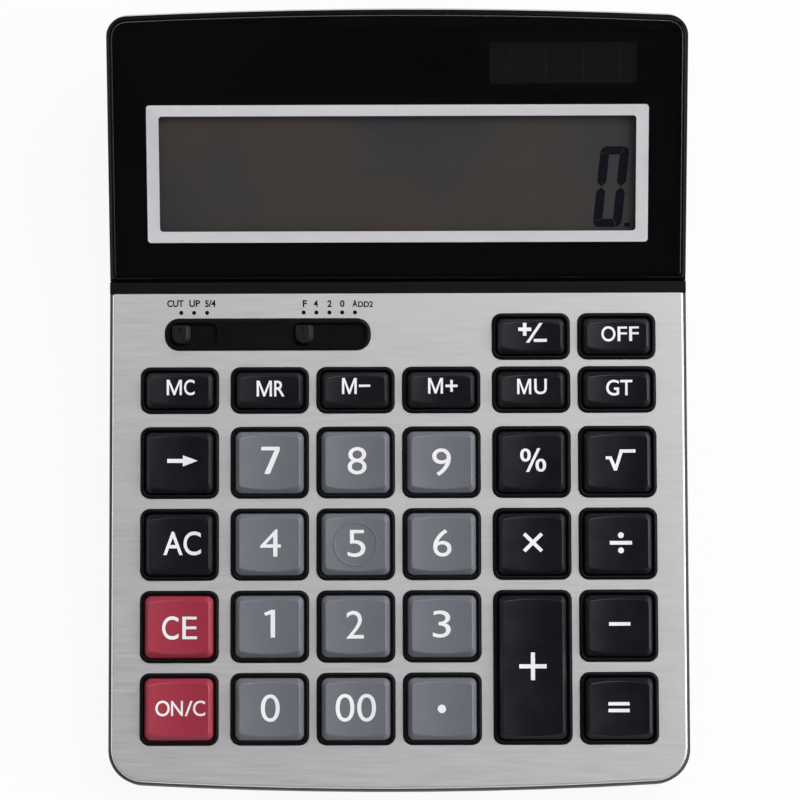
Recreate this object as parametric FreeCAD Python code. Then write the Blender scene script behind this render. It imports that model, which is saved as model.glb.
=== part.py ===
import FreeCAD, Part
import os
from math import cos, pi, radians, sin, sqrt, tan

# Desktop calculator, millimetres. X right, Y away from the user, Z up, the table at Z = 0.
# Two slanted working frames carry the detail: on the deck X, distance up the deck from the front edge
# of the face plate, height over the plate; on the head X, distance up the head, height over its face.

# Case
front_height = 12.6        # face plate surface at its front edge, over the table
deck_slope = 3.5
head_slope = 18.3
front_bow = 2.4            # how far the front edge bows out in its middle
back_bow = 1.8
front_corner = 9.0
back_corner = 5.5
front_rim = 0.48           # case showing in front of the plate
side_rim = 0.7             # case showing beside the plate
least_round = 2.0          # outline corners under this radius are cut off straight
wall = 1.8
deck_thickness = 1.8
split_height = 7.2         # joint between upper and lower case
joint_gap = 0.15
foot_height = 1.6
bottom_chamfer = 1.2
locating_lip = 1.4         # bars on one half of the case reach this far into the other
lip_length = 50.0
lip_thickness = 1.0
lip_gap = 0.15

# Face plate
plate_side = 7.76          # plate beyond the outer windows at the sides
plate_front = 11.65        # plate in front of the first row's windows
plate_back = 5.6           # plate beyond the back row's windows
plate_thickness = 0.8
plate_bevel = 0.5
plate_back_corner = 0.8
band_length = 2.9          # black band between plate and head
band_gap = 0.2
band_rise = 0.05

# Keys
window_width = 20.9
window_height = 19.15
short_window = 12.42
web_x = 2.15               # plate between windows side by side
group_gap = 1.15           # added beside the digit block
web_y = 2.84               # plate between the rows of square windows
memory_web = 3.71          # between the square windows and the memory row
sign_web = 1.96            # between the memory row and the sign row
window_corner = 2.2
window_gap = 0.1
collar_rise = 0.45         # collar top over the plate
collar_wall = 0.85
key_gap = 0.35             # all round, between key and collar
key_rise = 2.2             # edge of the key's face over the collar
dish_depth = 0.9
side_lean = 1.1            # how far the key's sides lean in at the face
end_lean = 1.75
key_travel = 1.5
flange_reach = 0.75        # flange past the key's foot, holds the key in
flange_thickness = 0.9
flange_play = 0.12
key_skin = 1.2
post_width = 4.0
home_ring_radius = 5.75
home_ring_width = 0.35
home_ring_rise = 0.2

# Key mat and board
mat_thickness = 0.8
mat_margin = 5.0           # sheet beyond the outer domes
dome_width = 8.4
dome_top = 5.0
dome_wall = 0.7
dome_squashed = 0.8        # height of a dome with its key down
board_thickness = 1.2
board_margin = 0.8         # board beyond the mat at the sides and front
board_back = 1.7           # board beyond the back row's windows
board_screw_radius = 1.0
board_post_radius = 1.5
board_post_gap = 0.4
board_screw_head = 0.9
chip_cap_width = 14.0
chip_cap_height = 1.5
capacitor_radius = 2.5
capacitor_length = 6.0

# Slide switches
surround_ahead = 0.75      # middle of the surround past the middle of the sign row
surround_side = 1.45       # surround beyond the sunk tracks
surround_height = 8.35
surround_corner = 3.0
surround_rise = 0.45
track_depth = 1.1
track_height = 6.1
track_corner = 1.3
stop_pitch = 3.457
knob_width = 4.75
knob_height = 5.3
knob_rise = 0.85
knob_corner = 0.8
knob_play = 0.25
knob_lift = 0.1            # knob over the floor of its track
knob_notch_width = 0.5
knob_notch_length = 1.6
knob_notch_depth = 0.4
rounding_offset = 0.15     # first stop from the middle of the first column
rounding_stops = 3
decimal_offset = 9.1       # first stop from the middle of the second column
decimal_stops = 5
stem_width = 2.4
stem_height = 2.0
stem_gap = 0.2
knob_foot_thickness = 0.8
knob_foot_gap = 0.15
wiper_thickness = 0.3
wiper_width = 3.0
wiper_leg = 0.8
wiper_gap = 0.05

# Display head
cover_depth = 6.0
cover_gap = 0.25           # groove between band and cover
cover_floor = 1.55         # under the lens
cover_edge = 0.9
cover_front_corner = 1.2
lens_inset = 1.25
lens_thickness = 1.5
lens_sink = 0.1            # lens face under the cover's
lens_gap = 0.12
film_thickness = 0.15
border_front = 10.6        # from the front of the head to the silver border
border_side = 10.3
border_height = 37.1
border_corner = 1.0
border_line_x = 3.3
border_line_y = 3.0
solar_gap = 5.35           # between silver border and solar window
solar_side = 2.9           # solar window's right end from the border's
solar_width = 39.8
solar_height = 11.3
solar_back = 8.8           # from solar window to the back of the head
solar_rim = 2.0            # solar cell beyond its window
solar_thickness = 1.1
opening_margin = 1.0       # how far the cover's openings stand back behind the print
panel_rim = 4.0            # display panel beyond the opening
panel_thickness = 2.2
panel_ledge = 3.0          # rear glass left bare for the contact film
holder_rim = 6.0
holder_floor = 1.2
holder_skin = 0.5
holder_ear = 0.6           # panel's side to the post
holder_screw_radius = 1.1
holder_screw_head = 0.9
holder_post_wall = 0.9
ribbon_inset = 10.0
ribbon_thickness = 0.25

# Battery, its box and door
cell_radius = 7.1
cell_length = 49.5
cell_nub_radius = 2.6
cell_nub_length = 1.0
cell_from_back = 13.0
cell_play = 0.4
contact_thickness = 0.4
contact_width = 8.0
contact_room = 3.0
contact_gap = 0.05
box_wall = 1.4
door_side = 1.75           # door beyond the cell's ends
door_front = 3.9           # door beyond the cell at the front
door_gap = 0.3
door_play = 0.1
door_flange = 1.5
door_flange_thickness = 0.9
grip_from_front = 8.0
grip_count = 5
grip_pitch = 1.6
grip_width = 0.8
grip_depth = 0.4
grip_length = 16.0

# Case screws and feet
post_inset = 4.3           # middle of the posts from the case's side
post_radius = 2.9
post_front = 12.0          # front posts from the case's front
post_back = 56.0           # rear posts from the case's back
post_cap = 3.0             # post over the screw's tip
case_screw_radius = 1.4
screw_head_radius = 2.5
screw_head_height = 1.1
screw_recess = 0.4
screw_gap = 0.2
case_screw_length = 9.0
thread_gap = 0.05
tip_gap = 0.3
foot_width = 16.0
foot_length = 7.0
foot_corner = 2.0
foot_recess = 0.6
foot_gap = 0.1
foot_side = 17.5
foot_front = 14.0
foot_back = 15.5

# Leads
lead_width = 2.4
lead_thickness = 0.9
lead_side = 2.0            # leads beside the contact film
lead_hold = 4.0            # soldered length on the board
lead_drop = 3.0            # hang of the leads under the board's level
lead_slack = 9.0           # hang of the solar leads behind the display holder
lead_rise = 6.0            # height up the battery box's front wall
film_hold = 3.0
film_bend = 1.2

root = 0.5                 # how deep a post or collar starts inside what carries it
over = 1.0                 # how far a cut runs past the material
far = 200.0


# Key layout
key_pitch_x = window_width + web_x
key_pitch_y = window_height + web_y
group_step = key_pitch_x + group_gap
columns = [
    -key_pitch_x - group_step,
    -key_pitch_x,
    0.0,
    key_pitch_x,
    key_pitch_x + group_step,
    2 * key_pitch_x + group_step,
]
column_middle = (columns[0] + columns[-1]) / 2
columns = [x - column_middle for x in columns]
rows = [plate_front + window_height / 2 + i * key_pitch_y for i in range(4)]
memory_row = rows[3] + (window_height + short_window) / 2 + memory_web
sign_row = memory_row + short_window + sign_web
back_windows = sign_row + short_window / 2

# Outer sizes
plate_width = 2 * (columns[-1] + window_width / 2 + plate_side)
plate_length = back_windows + plate_back
plate_corner = front_corner - side_rim
case_half = plate_width / 2 + side_rim
border_width = 2 * (case_half - border_side)
view_width = border_width - 2 * border_line_x
view_height = border_height - 2 * border_line_y
border_middle = border_front + border_height / 2
solar_left = border_width / 2 - solar_side - solar_width
solar_middle = border_front + border_height + solar_gap + solar_height / 2
head_length = solar_middle + solar_height / 2 + solar_back

# Frames
deck_angle = radians(deck_slope)
head_angle = radians(head_slope)
band_start = plate_length + band_gap
kink = band_start + band_length
kink_y = kink * cos(deck_angle)
plan_back = kink_y + head_length * cos(head_angle) + cover_depth * sin(head_angle)
middle_y = (plan_back - front_rim) / 2
front_y = -front_rim - middle_y
back_y = plan_back - middle_y

DECK = FreeCAD.Placement(FreeCAD.Vector(0, -middle_y, front_height),
                         FreeCAD.Rotation(FreeCAD.Vector(1, 0, 0), deck_slope))
KINK = DECK.multVec(FreeCAD.Vector(0, kink, 0))
HEAD = FreeCAD.Placement(KINK, FreeCAD.Rotation(FreeCAD.Vector(1, 0, 0), head_slope))

# Levels under the deck plane, from the plate down
deck_top = -plate_thickness
deck_under = deck_top - deck_thickness
collar_top = collar_rise
flange_top = deck_under - flange_play
flange_under = flange_top - flange_thickness
dome_peak = flange_under - flange_play
mat_top = dome_peak - key_travel - dome_squashed
board_top = mat_top - mat_thickness
board_under = board_top - board_thickness
foot_level = deck_under - knob_foot_gap
floor_height = foot_height + wall

# Levels under the head's face
cover_top = lens_thickness + film_thickness + cover_floor
panel_under = cover_top + panel_thickness
panel_width = view_width + 2 * (opening_margin + panel_rim)
panel_height = view_height + 2 * (opening_margin + panel_rim)
panel_front = border_middle - panel_height / 2
panel_back = border_middle + panel_height / 2
holder_post_radius = holder_screw_radius + holder_post_wall
ribbon_width = panel_width - 2 * ribbon_inset

# Slide switches
surround_middle = sign_row + surround_ahead
rounding_first_stop = columns[0] + rounding_offset
decimal_first_stop = columns[1] + decimal_offset
knob_reach = knob_width / 2 + knob_play
surround_left = rounding_first_stop - knob_reach - surround_side
surround_right = decimal_first_stop + (decimal_stops - 1) * stop_pitch + knob_reach + surround_side

# Battery box
door_top = floor_height + door_flange_thickness
cell_y = back_y - cell_from_back
cell_z = door_top + door_play + cell_play + cell_radius
box_front = cell_y - cell_radius - cell_play - box_wall
box_back = cell_y + cell_radius + cell_play + box_wall
box_half = cell_length / 2 + cell_nub_length + contact_room + box_wall
box_top = cell_z + cell_radius + cell_play + box_wall
door_half = (cell_length + cell_nub_length) / 2 + door_side
door_start = cell_y - cell_radius - door_front

os.makedirs("parts", exist_ok=True)


def vec(x, y, z):
    return FreeCAD.Vector(x, y, z)


def on_deck(shape):
    placed = shape.copy()
    placed.Placement = DECK.multiply(placed.Placement)
    return placed


def on_head(shape):
    placed = shape.copy()
    placed.Placement = HEAD.multiply(placed.Placement)
    return placed


def write(name, shape):
    shape.exportStep("parts/" + name + ".step")


def block(x, y, z):
    """A box from three pairs of limits."""
    return Part.makeBox(x[1] - x[0], y[1] - y[0], z[1] - z[0], vec(x[0], y[0], z[0]))


def closed(points):
    return Part.makePolygon(points + points[:1])


def prism(wire, height):
    return Part.Face(wire).extrude(vec(0, 0, height))


def rounded(width, height, radius, x, y, z, flats=1):
    """Points of a rectangle at height z whose round corners are each turned in a few flats."""
    step = pi / 2 / (flats + 1)
    reach = radius / cos(step / 2)
    points = []
    for turn, (sx, sy) in enumerate(((1, 1), (-1, 1), (-1, -1), (1, -1))):
        heart_x = x + sx * (width / 2 - radius)
        heart_y = y + sy * (height / 2 - radius)
        for i in range(flats + 1):
            angle = pi / 2 * turn + step * (i + 0.5)
            points.append(vec(heart_x + reach * cos(angle), heart_y + reach * sin(angle), z))
    return points


def rounded_block(width, height, radius, x, y, z, flats=1):
    return prism(closed(rounded(width, height, radius, x, y, z[0], flats)), z[1] - z[0])


def oblong(width, height, x, y, z):
    """Corner points of a rectangle at height z."""
    ways = ((1, 1), (-1, 1), (-1, -1), (1, -1))
    return [vec(x + sx * width / 2, y + sy * height / 2, z) for sx, sy in ways]


def taper(low, high):
    """A solid with flat sides between two outlines whose sides run parallel."""
    faces = [Part.Face(closed(low)), Part.Face(closed(high))]
    for i in range(len(low)):
        faces.append(Part.Face(closed([low[i - 1], low[i], high[i], high[i - 1]])))
    solid = Part.Solid(Part.Shell(faces))
    if solid.Volume < 0:
        solid.reverse()
    return solid


def bar(radius, x, y, z, sides=6):
    """An upright post, shank or hole with flat sides, its flats at the given radius."""
    reach = radius / cos(pi / sides)
    points = []
    for i in range(sides):
        angle = 2 * pi * (i + 0.5) / sides
        points.append(vec(x + reach * cos(angle), y + reach * sin(angle), z[0]))
    return prism(closed(points), z[1] - z[0])


def screw(radius, head_radius, head_height, x, y, seat, tip):
    """An upright screw with its head under the seat."""
    head = bar(head_radius, x, y, (seat - head_height, seat), 8)
    return head.fuse(bar(radius, x, y, (seat, tip))).removeSplitter()


def outline_end(half, end, bow, corner, way, z):
    """Right half of one end of an outline: where its corner starts, bends and ends, and the end's peak."""
    if bow:
        bend = (half ** 2 + bow ** 2) / (2 * bow)
        centre = end - way * bend
        reach = sqrt((bend - corner) ** 2 - (half - corner) ** 2)
        heart = vec(half - corner, centre + way * reach, z)
        scale = bend / (bend - corner)
        foot = vec((half - corner) * scale, centre + way * reach * scale, z)
    else:
        heart = vec(half - corner, end - way * corner, z)
        foot = vec(half - corner, end, z)
    side = vec(half, heart.y, z)
    mean = (foot + side) * 0.5 - heart
    return foot, heart + mean * (corner / mean.Length), side, vec(0, end, z)


def bowed_outline(half, front, back, bow_front, bow_back, corner_front, corner_back, z):
    """Straight sides, ends that bow outwards or run straight, and round corners, as a wire at height z.

    Corners smaller than the least round one are cut off straight.
    """

    def mirrored(p):
        return vec(-p.x, p.y, p.z)

    def end_edge(start, peak, stop, bow):
        if bow:
            return Part.Arc(start, peak, stop).toShape()
        return Part.LineSegment(start, stop).toShape()

    def corner_edge(start, middle, stop, corner):
        if corner < least_round:
            return Part.LineSegment(start, stop).toShape()
        return Part.Arc(start, middle, stop).toShape()

    f_foot, f_mid, f_side, f_peak = outline_end(half, front, bow_front, corner_front, -1, z)
    b_foot, b_mid, b_side, b_peak = outline_end(half, back, bow_back, corner_back, 1, z)
    edges = [
        end_edge(mirrored(f_foot), f_peak, f_foot, bow_front),
        corner_edge(f_foot, f_mid, f_side, corner_front),
        Part.LineSegment(f_side, b_side).toShape(),
        corner_edge(b_side, b_mid, b_foot, corner_back),
        end_edge(b_foot, b_peak, mirrored(b_foot), bow_back),
        corner_edge(mirrored(b_foot), mirrored(b_mid), mirrored(b_side), corner_back),
        Part.LineSegment(mirrored(b_side), mirrored(f_side)).toShape(),
        corner_edge(mirrored(f_side), mirrored(f_mid), mirrored(f_foot), corner_front),
    ]
    return Part.Wire(edges)


def plan(inset, z):
    """The case's plan outline at height z, drawn in by inset."""
    return bowed_outline(
        case_half - inset, front_y + inset, back_y - inset, front_bow, back_bow,
        front_corner - inset, back_corner - inset, z)


def plan_prism(inset, z):
    return prism(plan(inset, z[0]), z[1] - z[0])


def side_slab(points, half=far):
    """A side view of (y, z) points, drawn out across the case."""
    corners = [vec(-half, y, z) for y, z in points]
    return Part.Face(closed(corners)).extrude(vec(2 * half, 0, 0))


def deck_line(y, rise):
    """Height of the deck plane, raised by rise, at a y of the case."""
    return front_height + rise / cos(deck_angle) + (y + middle_y) * tan(deck_angle)


def head_line(y, rise):
    return KINK.z + rise / cos(head_angle) + (y - KINK.y) * tan(head_angle)


def key_layout():
    """Name, x, y and height of window of every key."""
    names = [
        ("key_on", "key_0", "key_00", "key_point", None, "key_equals"),
        ("key_ce", "key_1", "key_2", "key_3", None, "key_minus"),
        ("key_ac", "key_4", "key_5", "key_6", "key_times", "key_divide"),
        ("key_back", "key_7", "key_8", "key_9", "key_percent", "key_root"),
    ]
    layout = []
    for row, line in zip(rows, names):
        for x, name in zip(columns, line):
            if name:
                layout.append((name, x, row, window_height))
    memory = ("key_mc", "key_mr", "key_m_minus", "key_m_plus", "key_mu", "key_gt")
    for x, name in zip(columns, memory):
        layout.append((name, x, memory_row, short_window))
    layout.append(("key_sign", columns[4], sign_row, short_window))
    layout.append(("key_off", columns[5], sign_row, short_window))
    layout.append(("key_plus", columns[4], (rows[0] + rows[1]) / 2, window_height + key_pitch_y))
    return layout


keys = key_layout()
foot_shrink = 2 * (collar_wall + key_gap + window_gap)
well_shrink = 2 * (collar_wall + window_gap)


# Keycaps
def keycap(x, y, window):
    """Hollow cap: flange, straight foot, leaning sides, face dished from side to side, posts inside."""
    width = window_width - foot_shrink
    height = window - foot_shrink
    edge = collar_top + key_rise
    blank = dish_depth
    stretch = (key_rise + blank) / key_rise
    foot = prism(closed(oblong(width, height, x, y, flange_under)), collar_top - flange_under)
    body = taper(
        oblong(width, height, x, y, collar_top),
        oblong(width - 2 * side_lean * stretch, height - 2 * end_lean * stretch, x, y, edge + blank))
    face_half = width / 2 - side_lean
    bend = (face_half ** 2 + dish_depth ** 2) / (2 * dish_depth)
    dish = Part.makeCylinder(
        bend, height + 2 * over, vec(x, y - height / 2 - over, edge + bend - dish_depth), vec(0, 1, 0))
    flange_x = width / 2 + flange_reach
    flange_y = height / 2 + flange_reach
    flange = block((x - flange_x, x + flange_x), (y - flange_y, y + flange_y), (flange_under, flange_top))
    cap = foot.fuse(body).cut(dish).fuse(flange)
    ceiling = edge - dish_depth - key_skin
    hollow_x = width / 2 - key_skin - side_lean
    hollow_y = height / 2 - key_skin - end_lean
    cap = cap.cut(block((x - hollow_x, x + hollow_x), (y - hollow_y, y + hollow_y), (flange_under, ceiling)))
    posts = [prism(closed(oblong(post_width, post_width, px, py, flange_under)), ceiling - flange_under)
             for px, py in dome_spots(x, y, window)]
    return cap.fuse(posts).removeSplitter()


def dome_spots(x, y, window):
    """Middle of the dome under a key, or of the two under the tall one."""
    if window > window_height:
        return [(x, y - key_pitch_y / 2), (x, y + key_pitch_y / 2)]
    return [(x, y)]


def home_ring(x, y):
    """Thin raised ring on the middle digit key, to find it by touch."""
    base = collar_top + key_rise - dish_depth
    top = base + dish_depth * (home_ring_radius / (window_width / 2)) ** 2 + home_ring_rise
    ring = bar(home_ring_radius + home_ring_width / 2, x, y, (base - home_ring_rise, top), 12)
    return ring.cut(bar(home_ring_radius - home_ring_width / 2, x, y, (base - over, top + over), 12))


# Upper case
def upper_case():
    """Deck with key wells and collars, the black band, and the walls round the head."""
    solids = []
    holes = []
    for name, x, y, window in keys:
        solids.append(rounded_block(
            window_width - 2 * window_gap, window - 2 * window_gap, window_corner - window_gap, x, y,
            (deck_top - root, collar_top)))
        well = oblong(window_width - well_shrink, window - well_shrink, x, y, deck_under - over)
        holes.append(prism(closed(well), collar_top - deck_under + 2 * over))
    surround, tracks = switch_surround()
    posts, pilots = board_posts()
    solids += [surround] + posts
    holes += tracks + pilots
    case = case_shell().fuse([on_deck(s) for s in solids] + case_posts())
    return case.cut([on_deck(h) for h in holes] + case_pilots())


def sill_limits():
    """Front, back and underside of the wall that crosses the case under the band."""
    seat = HEAD.multVec(vec(0, 0, -cover_depth))
    return seat.y - wall, seat.y + wall, seat.z - 2 * wall


def case_shell():
    """Hollow upper case in side view: deck, band with the sill under it, and the low walls of the head."""
    low = split_height + joint_gap
    ahead = front_y - far / 10
    behind = back_y + far / 10
    band_front = DECK.multVec(vec(0, band_start, deck_top))
    band_high = DECK.multVec(vec(0, band_start, band_rise))
    band_end = DECK.multVec(vec(0, kink, band_rise))
    seat = HEAD.multVec(vec(0, 0, -cover_depth))
    outer = side_slab([
        (ahead, low), (ahead, deck_line(ahead, deck_top)), (band_front.y, band_front.z),
        (band_high.y, band_high.z), (band_end.y, band_end.z), (seat.y, seat.z),
        (behind, head_line(behind, -cover_depth)), (behind, low)])
    sill_front, sill_back, sill_low = sill_limits()
    inner_deck = side_slab([
        (ahead, low - over), (ahead, deck_line(ahead, deck_under)),
        (sill_front, deck_line(sill_front, deck_under)), (sill_front, low - over)])
    inner_sill = side_slab([
        (sill_front - over, low - over), (sill_front - over, sill_low), (sill_back + over, sill_low),
        (sill_back + over, low - over)])
    inner_head = side_slab([(sill_back, low - over), (sill_back, far), (behind, far), (behind, low - over)])
    inside = plan_prism(wall, (low - 2 * over, far))
    room = inside.common(inner_deck.fuse([inner_head, inner_sill]))
    return plan_prism(0, (low, far)).common(outer).cut(room)


def switch_limits():
    """For each switch: first stop, travel, and the ends of its track."""
    limits = []
    for first, stops in ((rounding_first_stop, rounding_stops), (decimal_first_stop, decimal_stops)):
        travel = (stops - 1) * stop_pitch
        limits.append((first, travel, first - knob_reach, first + travel + knob_reach))
    return limits


def switch_surround():
    """Raised black surround, and its cuts: a sunk track per switch with a narrow slot in its floor."""
    surround = rounded_block(
        surround_right - surround_left, surround_height, surround_corner,
        (surround_left + surround_right) / 2, surround_middle, (deck_top - root, surround_rise), 4)
    cuts = []
    for first, travel, left, right in switch_limits():
        cuts.append(rounded_block(
            right - left, track_height, track_corner, (left + right) / 2, surround_middle,
            (surround_rise - track_depth, surround_rise + over), 2))
        slot_x = stem_width / 2 + stem_gap
        slot_y = stem_height / 2 + stem_gap
        cuts.append(block(
            (first - slot_x, first + travel + slot_x), (surround_middle - slot_y, surround_middle + slot_y),
            (deck_under - over, surround_rise)))
    return surround, cuts


def switch_knob(first):
    """Knob in its track, with a stem through the slot and a foot that holds it in."""
    floor = surround_rise - track_depth + knob_lift
    top = surround_rise + knob_rise
    cap = rounded_block(knob_width, knob_height, knob_corner, first, surround_middle, (floor, top), 2)
    notch_end = surround_middle + knob_height / 2
    notch = block(
        (first - knob_notch_width / 2, first + knob_notch_width / 2),
        (notch_end - knob_notch_length, notch_end + over), (top - knob_notch_depth, top + over))
    stem = block(
        (first - stem_width / 2, first + stem_width / 2),
        (surround_middle - stem_height / 2, surround_middle + stem_height / 2), (foot_level, floor))
    foot = block(
        (first - knob_width / 2, first + knob_width / 2),
        (surround_middle - knob_height / 2, surround_middle + knob_height / 2),
        (foot_level - knob_foot_thickness, foot_level))
    return cap.cut(notch).fuse([stem, foot]).removeSplitter()


def switch_wiper(first):
    """Sliding contact: a flat strip under the knob's foot with two legs that reach the board."""
    top = foot_level - knob_foot_thickness
    under = top - wiper_thickness
    low = board_top + wiper_gap
    half = knob_width / 2
    toe = half - wiper_leg
    right_side = [
        (half, top), (half, under), (wiper_thickness, under), (toe, low), (toe - wiper_leg, low),
        (0, under - wiper_thickness)]
    left_side = [(-x, z) for x, z in right_side[-2::-1]]
    corners = [vec(first + x, surround_middle - wiper_width / 2, z) for x, z in right_side + left_side]
    return Part.Face(closed(corners)).extrude(vec(0, wiper_width, 0))


def board_spots():
    """Board screws sit where four keys meet, beside the digit block."""
    across = ((columns[0] + columns[1]) / 2, (columns[3] + columns[4]) / 2)
    along = ((rows[1] + rows[2]) / 2, (rows[3] + memory_row) / 2)
    return [(x, y) for x in across for y in along]


def board_posts():
    """Posts under the deck that the board is screwed to, and the screws' pilot holes."""
    posts = [bar(board_post_radius, x, y, (board_top, deck_under + root)) for x, y in board_spots()]
    pilots = [bar(board_screw_radius + thread_gap, x, y, (board_top - over, deck_under - tip_gap))
              for x, y in board_spots()]
    return posts, pilots


def case_spots():
    """Middle of every case screw."""
    x = case_half - post_inset
    return [(side * x, y) for side in (-1, 1) for y in (front_y + post_front, back_y - post_back)]


def case_seat():
    return foot_height + screw_recess + screw_head_height


def screw_tip(y):
    """Top end of the case screw at y, under the deck where that is lower."""
    tip = case_seat() + case_screw_length
    if y > KINK.y:
        return tip
    return min(tip, deck_line(y, deck_under) - 2 * tip_gap)


def case_posts():
    """Posts on the side walls of the upper case that take the case screws."""
    posts = []
    for x, y in case_spots():
        top = screw_tip(y) + (post_cap if y > KINK.y else 2 * tip_gap + root)
        posts.append(bar(post_radius, x, y, (split_height + joint_gap, top)))
    return posts


def case_pilots():
    return [bar(case_screw_radius + thread_gap, x, y, (split_height - over, screw_tip(y) + tip_gap))
            for x, y in case_spots()]


# Face plate
def face_plate():
    """Aluminium sheet with a bevelled outer edge and a window for every key and for the switches."""
    outline = bowed_outline(
        plate_width / 2, 0.0, plate_length, front_bow, 0, plate_corner, plate_back_corner, deck_top)
    plate = prism(outline, plate_thickness)
    rim = [e for e in plate.Edges if e.BoundBox.ZMin > deck_top / 2]
    plate = plate.makeChamfer(plate_bevel, rim)
    span = (deck_top - over, over)
    windows = [rounded_block(window_width, window, window_corner, x, y, span) for name, x, y, window in keys]
    windows.append(rounded_block(
        surround_right - surround_left + 2 * window_gap, surround_height + 2 * window_gap,
        surround_corner + window_gap, (surround_left + surround_right) / 2, surround_middle, span, 4))
    return plate.cut(windows)


# Key mat and board
def mat_limits():
    """Sides, front and back of the key mat round the outer domes, without the two keys of the sign row."""
    reach = dome_width / 2 + mat_margin
    return columns[0] - reach, columns[-1] + reach, rows[0] - reach, memory_row + reach


def dome(inset, x, y, low, high):
    wide = dome_width - 2 * inset
    narrow = dome_top - 2 * inset
    return taper(oblong(wide, wide, x, y, low), oblong(narrow, narrow, x, y, high))


def key_mat():
    """Silicone sheet with a hollow dome under every key."""
    left, right, front, back = mat_limits()
    tongue = columns[4] - dome_width / 2 - mat_margin
    sheet = block((left, right), (front, back), (board_top, mat_top))
    sheet = sheet.fuse(block((tongue, right), (front, back_windows), (board_top, mat_top)))
    domes = []
    hollows = []
    for name, key_x, key_y, window in keys:
        for x, y in dome_spots(key_x, key_y, window):
            domes.append(dome(0, x, y, mat_top, dome_peak))
            hollows.append(dome(dome_wall, x, y, board_top, dome_peak - 2 * dome_wall))
    holes = [bar(board_post_radius + board_post_gap, x, y, (board_top - over, mat_top + over))
             for x, y in board_spots()]
    return sheet.fuse(domes).cut(hollows + holes).removeSplitter()


def board_limits():
    left, right, front, back = mat_limits()
    return left - board_margin, right + board_margin, front - board_margin, back_windows + board_back


def main_board():
    left, right, front, back = board_limits()
    board = block((left, right), (front, back), (board_under, board_top))
    return board.cut([bar(board_screw_radius + screw_gap, x, y, (board_under - over, board_top + over))
                      for x, y in board_spots()])


def board_screws():
    """Screws from under the board into the deck's posts."""
    return Part.makeCompound([
        screw(board_screw_radius, 2 * board_screw_radius, board_screw_head, x, y, board_under,
              deck_under - 2 * tip_gap)
        for x, y in board_spots()])


def chip_cap():
    """Low mound of black resin over the chip, under the board."""
    x = columns[2]
    y = (rows[2] + rows[3]) / 2
    base = rounded(chip_cap_width, chip_cap_width, chip_cap_width / 3, x, y, board_under)
    crown_width = chip_cap_width - 4 * chip_cap_height
    crown = rounded(crown_width, crown_width, chip_cap_width / 3, x, y, board_under - chip_cap_height)
    return taper(base, crown)


def capacitors():
    """Two small radial capacitors standing on the underside of the board, near the head."""
    cans = []
    for side in (-1, 1):
        x = columns[2] + side * 2 * capacitor_radius
        cans.append(bar(
            capacitor_radius, x, memory_row, (board_under - capacitor_length, board_under), 16))
    return Part.makeCompound(cans)


# Display head
def head_outline(inset, z):
    """Outline of the cover on the head plane, or the same drawn in by inset."""
    return bowed_outline(
        case_half - inset, cover_gap + inset, head_length - inset, 0, back_bow,
        max(cover_front_corner - inset, root), back_corner - inset, z)


def head_prism(inset, z):
    return prism(head_outline(inset, z[0]), z[1] - z[0])


def head_openings(margin, z):
    """The display's and the solar cell's windows, each larger by a margin."""
    display = rounded_block(
        view_width + 2 * margin, view_height + 2 * margin, border_corner, 0, border_middle, z)
    solar = block(
        (solar_left - margin, solar_left + solar_width + margin),
        (solar_middle - solar_height / 2 - margin, solar_middle + solar_height / 2 + margin), z)
    return [display, solar]


def display_cover():
    """Gloss cover of the head: bevelled rim, sunk seat for the lens, openings for panel and solar cell."""
    cover = head_prism(0, (-cover_depth, 0))
    rim = [e for e in cover.Edges if e.BoundBox.ZMin > -cover_edge]
    cover = cover.makeChamfer(cover_edge, rim)
    cover = cover.cut(head_prism(wall, (-cover_depth - over, -cover_top)))
    posts = [bar(holder_post_radius, x, y, (-panel_under, root - cover_top)) for x, y in holder_spots()]
    pilots = [bar(holder_screw_radius + thread_gap, x, y, (-panel_under - over, tip_gap - cover_top))
              for x, y in holder_spots()]
    seat = head_prism(lens_inset, (-lens_thickness - film_thickness, over))
    openings = head_openings(opening_margin, (-cover_top - over, 0))
    bars = locating_bars(head_length / 2, -cover_depth, -1)
    return cover.fuse(posts + bars).cut([seat] + openings + pilots)


def locating_bars(middle, level, way):
    """Bars on the inside of the long walls that reach past a joint, up or down, into the other half."""
    bars = []
    inside = case_half - wall
    for side in (-1, 1):
        hold = sorted((side * (inside + root), side * (inside - lip_gap - lip_thickness)))
        tongue = sorted((side * (inside - lip_gap), side * (inside - lip_gap - lip_thickness)))
        span = (middle - lip_length / 2, middle + lip_length / 2)
        back = level - way * 2 * locating_lip
        bars.append(block(hold, span, sorted((back, level - way * tip_gap))))
        bars.append(block(tongue, span, sorted((back, level + way * locating_lip))))
    return bars


def lens():
    return head_prism(lens_inset + lens_gap, (-lens_thickness, -lens_sink))


def mask_film():
    """Black film behind the lens, clear over the display and the solar cell."""
    film = head_prism(lens_inset + lens_gap, (-lens_thickness - film_thickness, -lens_thickness))
    display, solar = head_openings(0, (-far, far))
    border = rounded_block(border_width, border_height, border_corner, 0, border_middle, (-far, far))
    return film.cut([border, solar])


def window_border():
    """Silver border round the display, in the same layer as the mask."""
    z = (-lens_thickness - film_thickness, -lens_thickness)
    display, solar = head_openings(0, (-far, far))
    return rounded_block(border_width, border_height, border_corner, 0, border_middle, z).cut(display)


def display_panel():
    """Two glass plates, the rear one longer at the foot where the contact film joins."""
    half = panel_width / 2
    mid = -cover_top - panel_thickness / 2
    front = block((-half, half), (panel_front + panel_ledge, panel_back), (mid, -cover_top))
    rear = block((-half, half), (panel_front, panel_back), (-panel_under, mid))
    return front.fuse(rear).removeSplitter()


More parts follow.
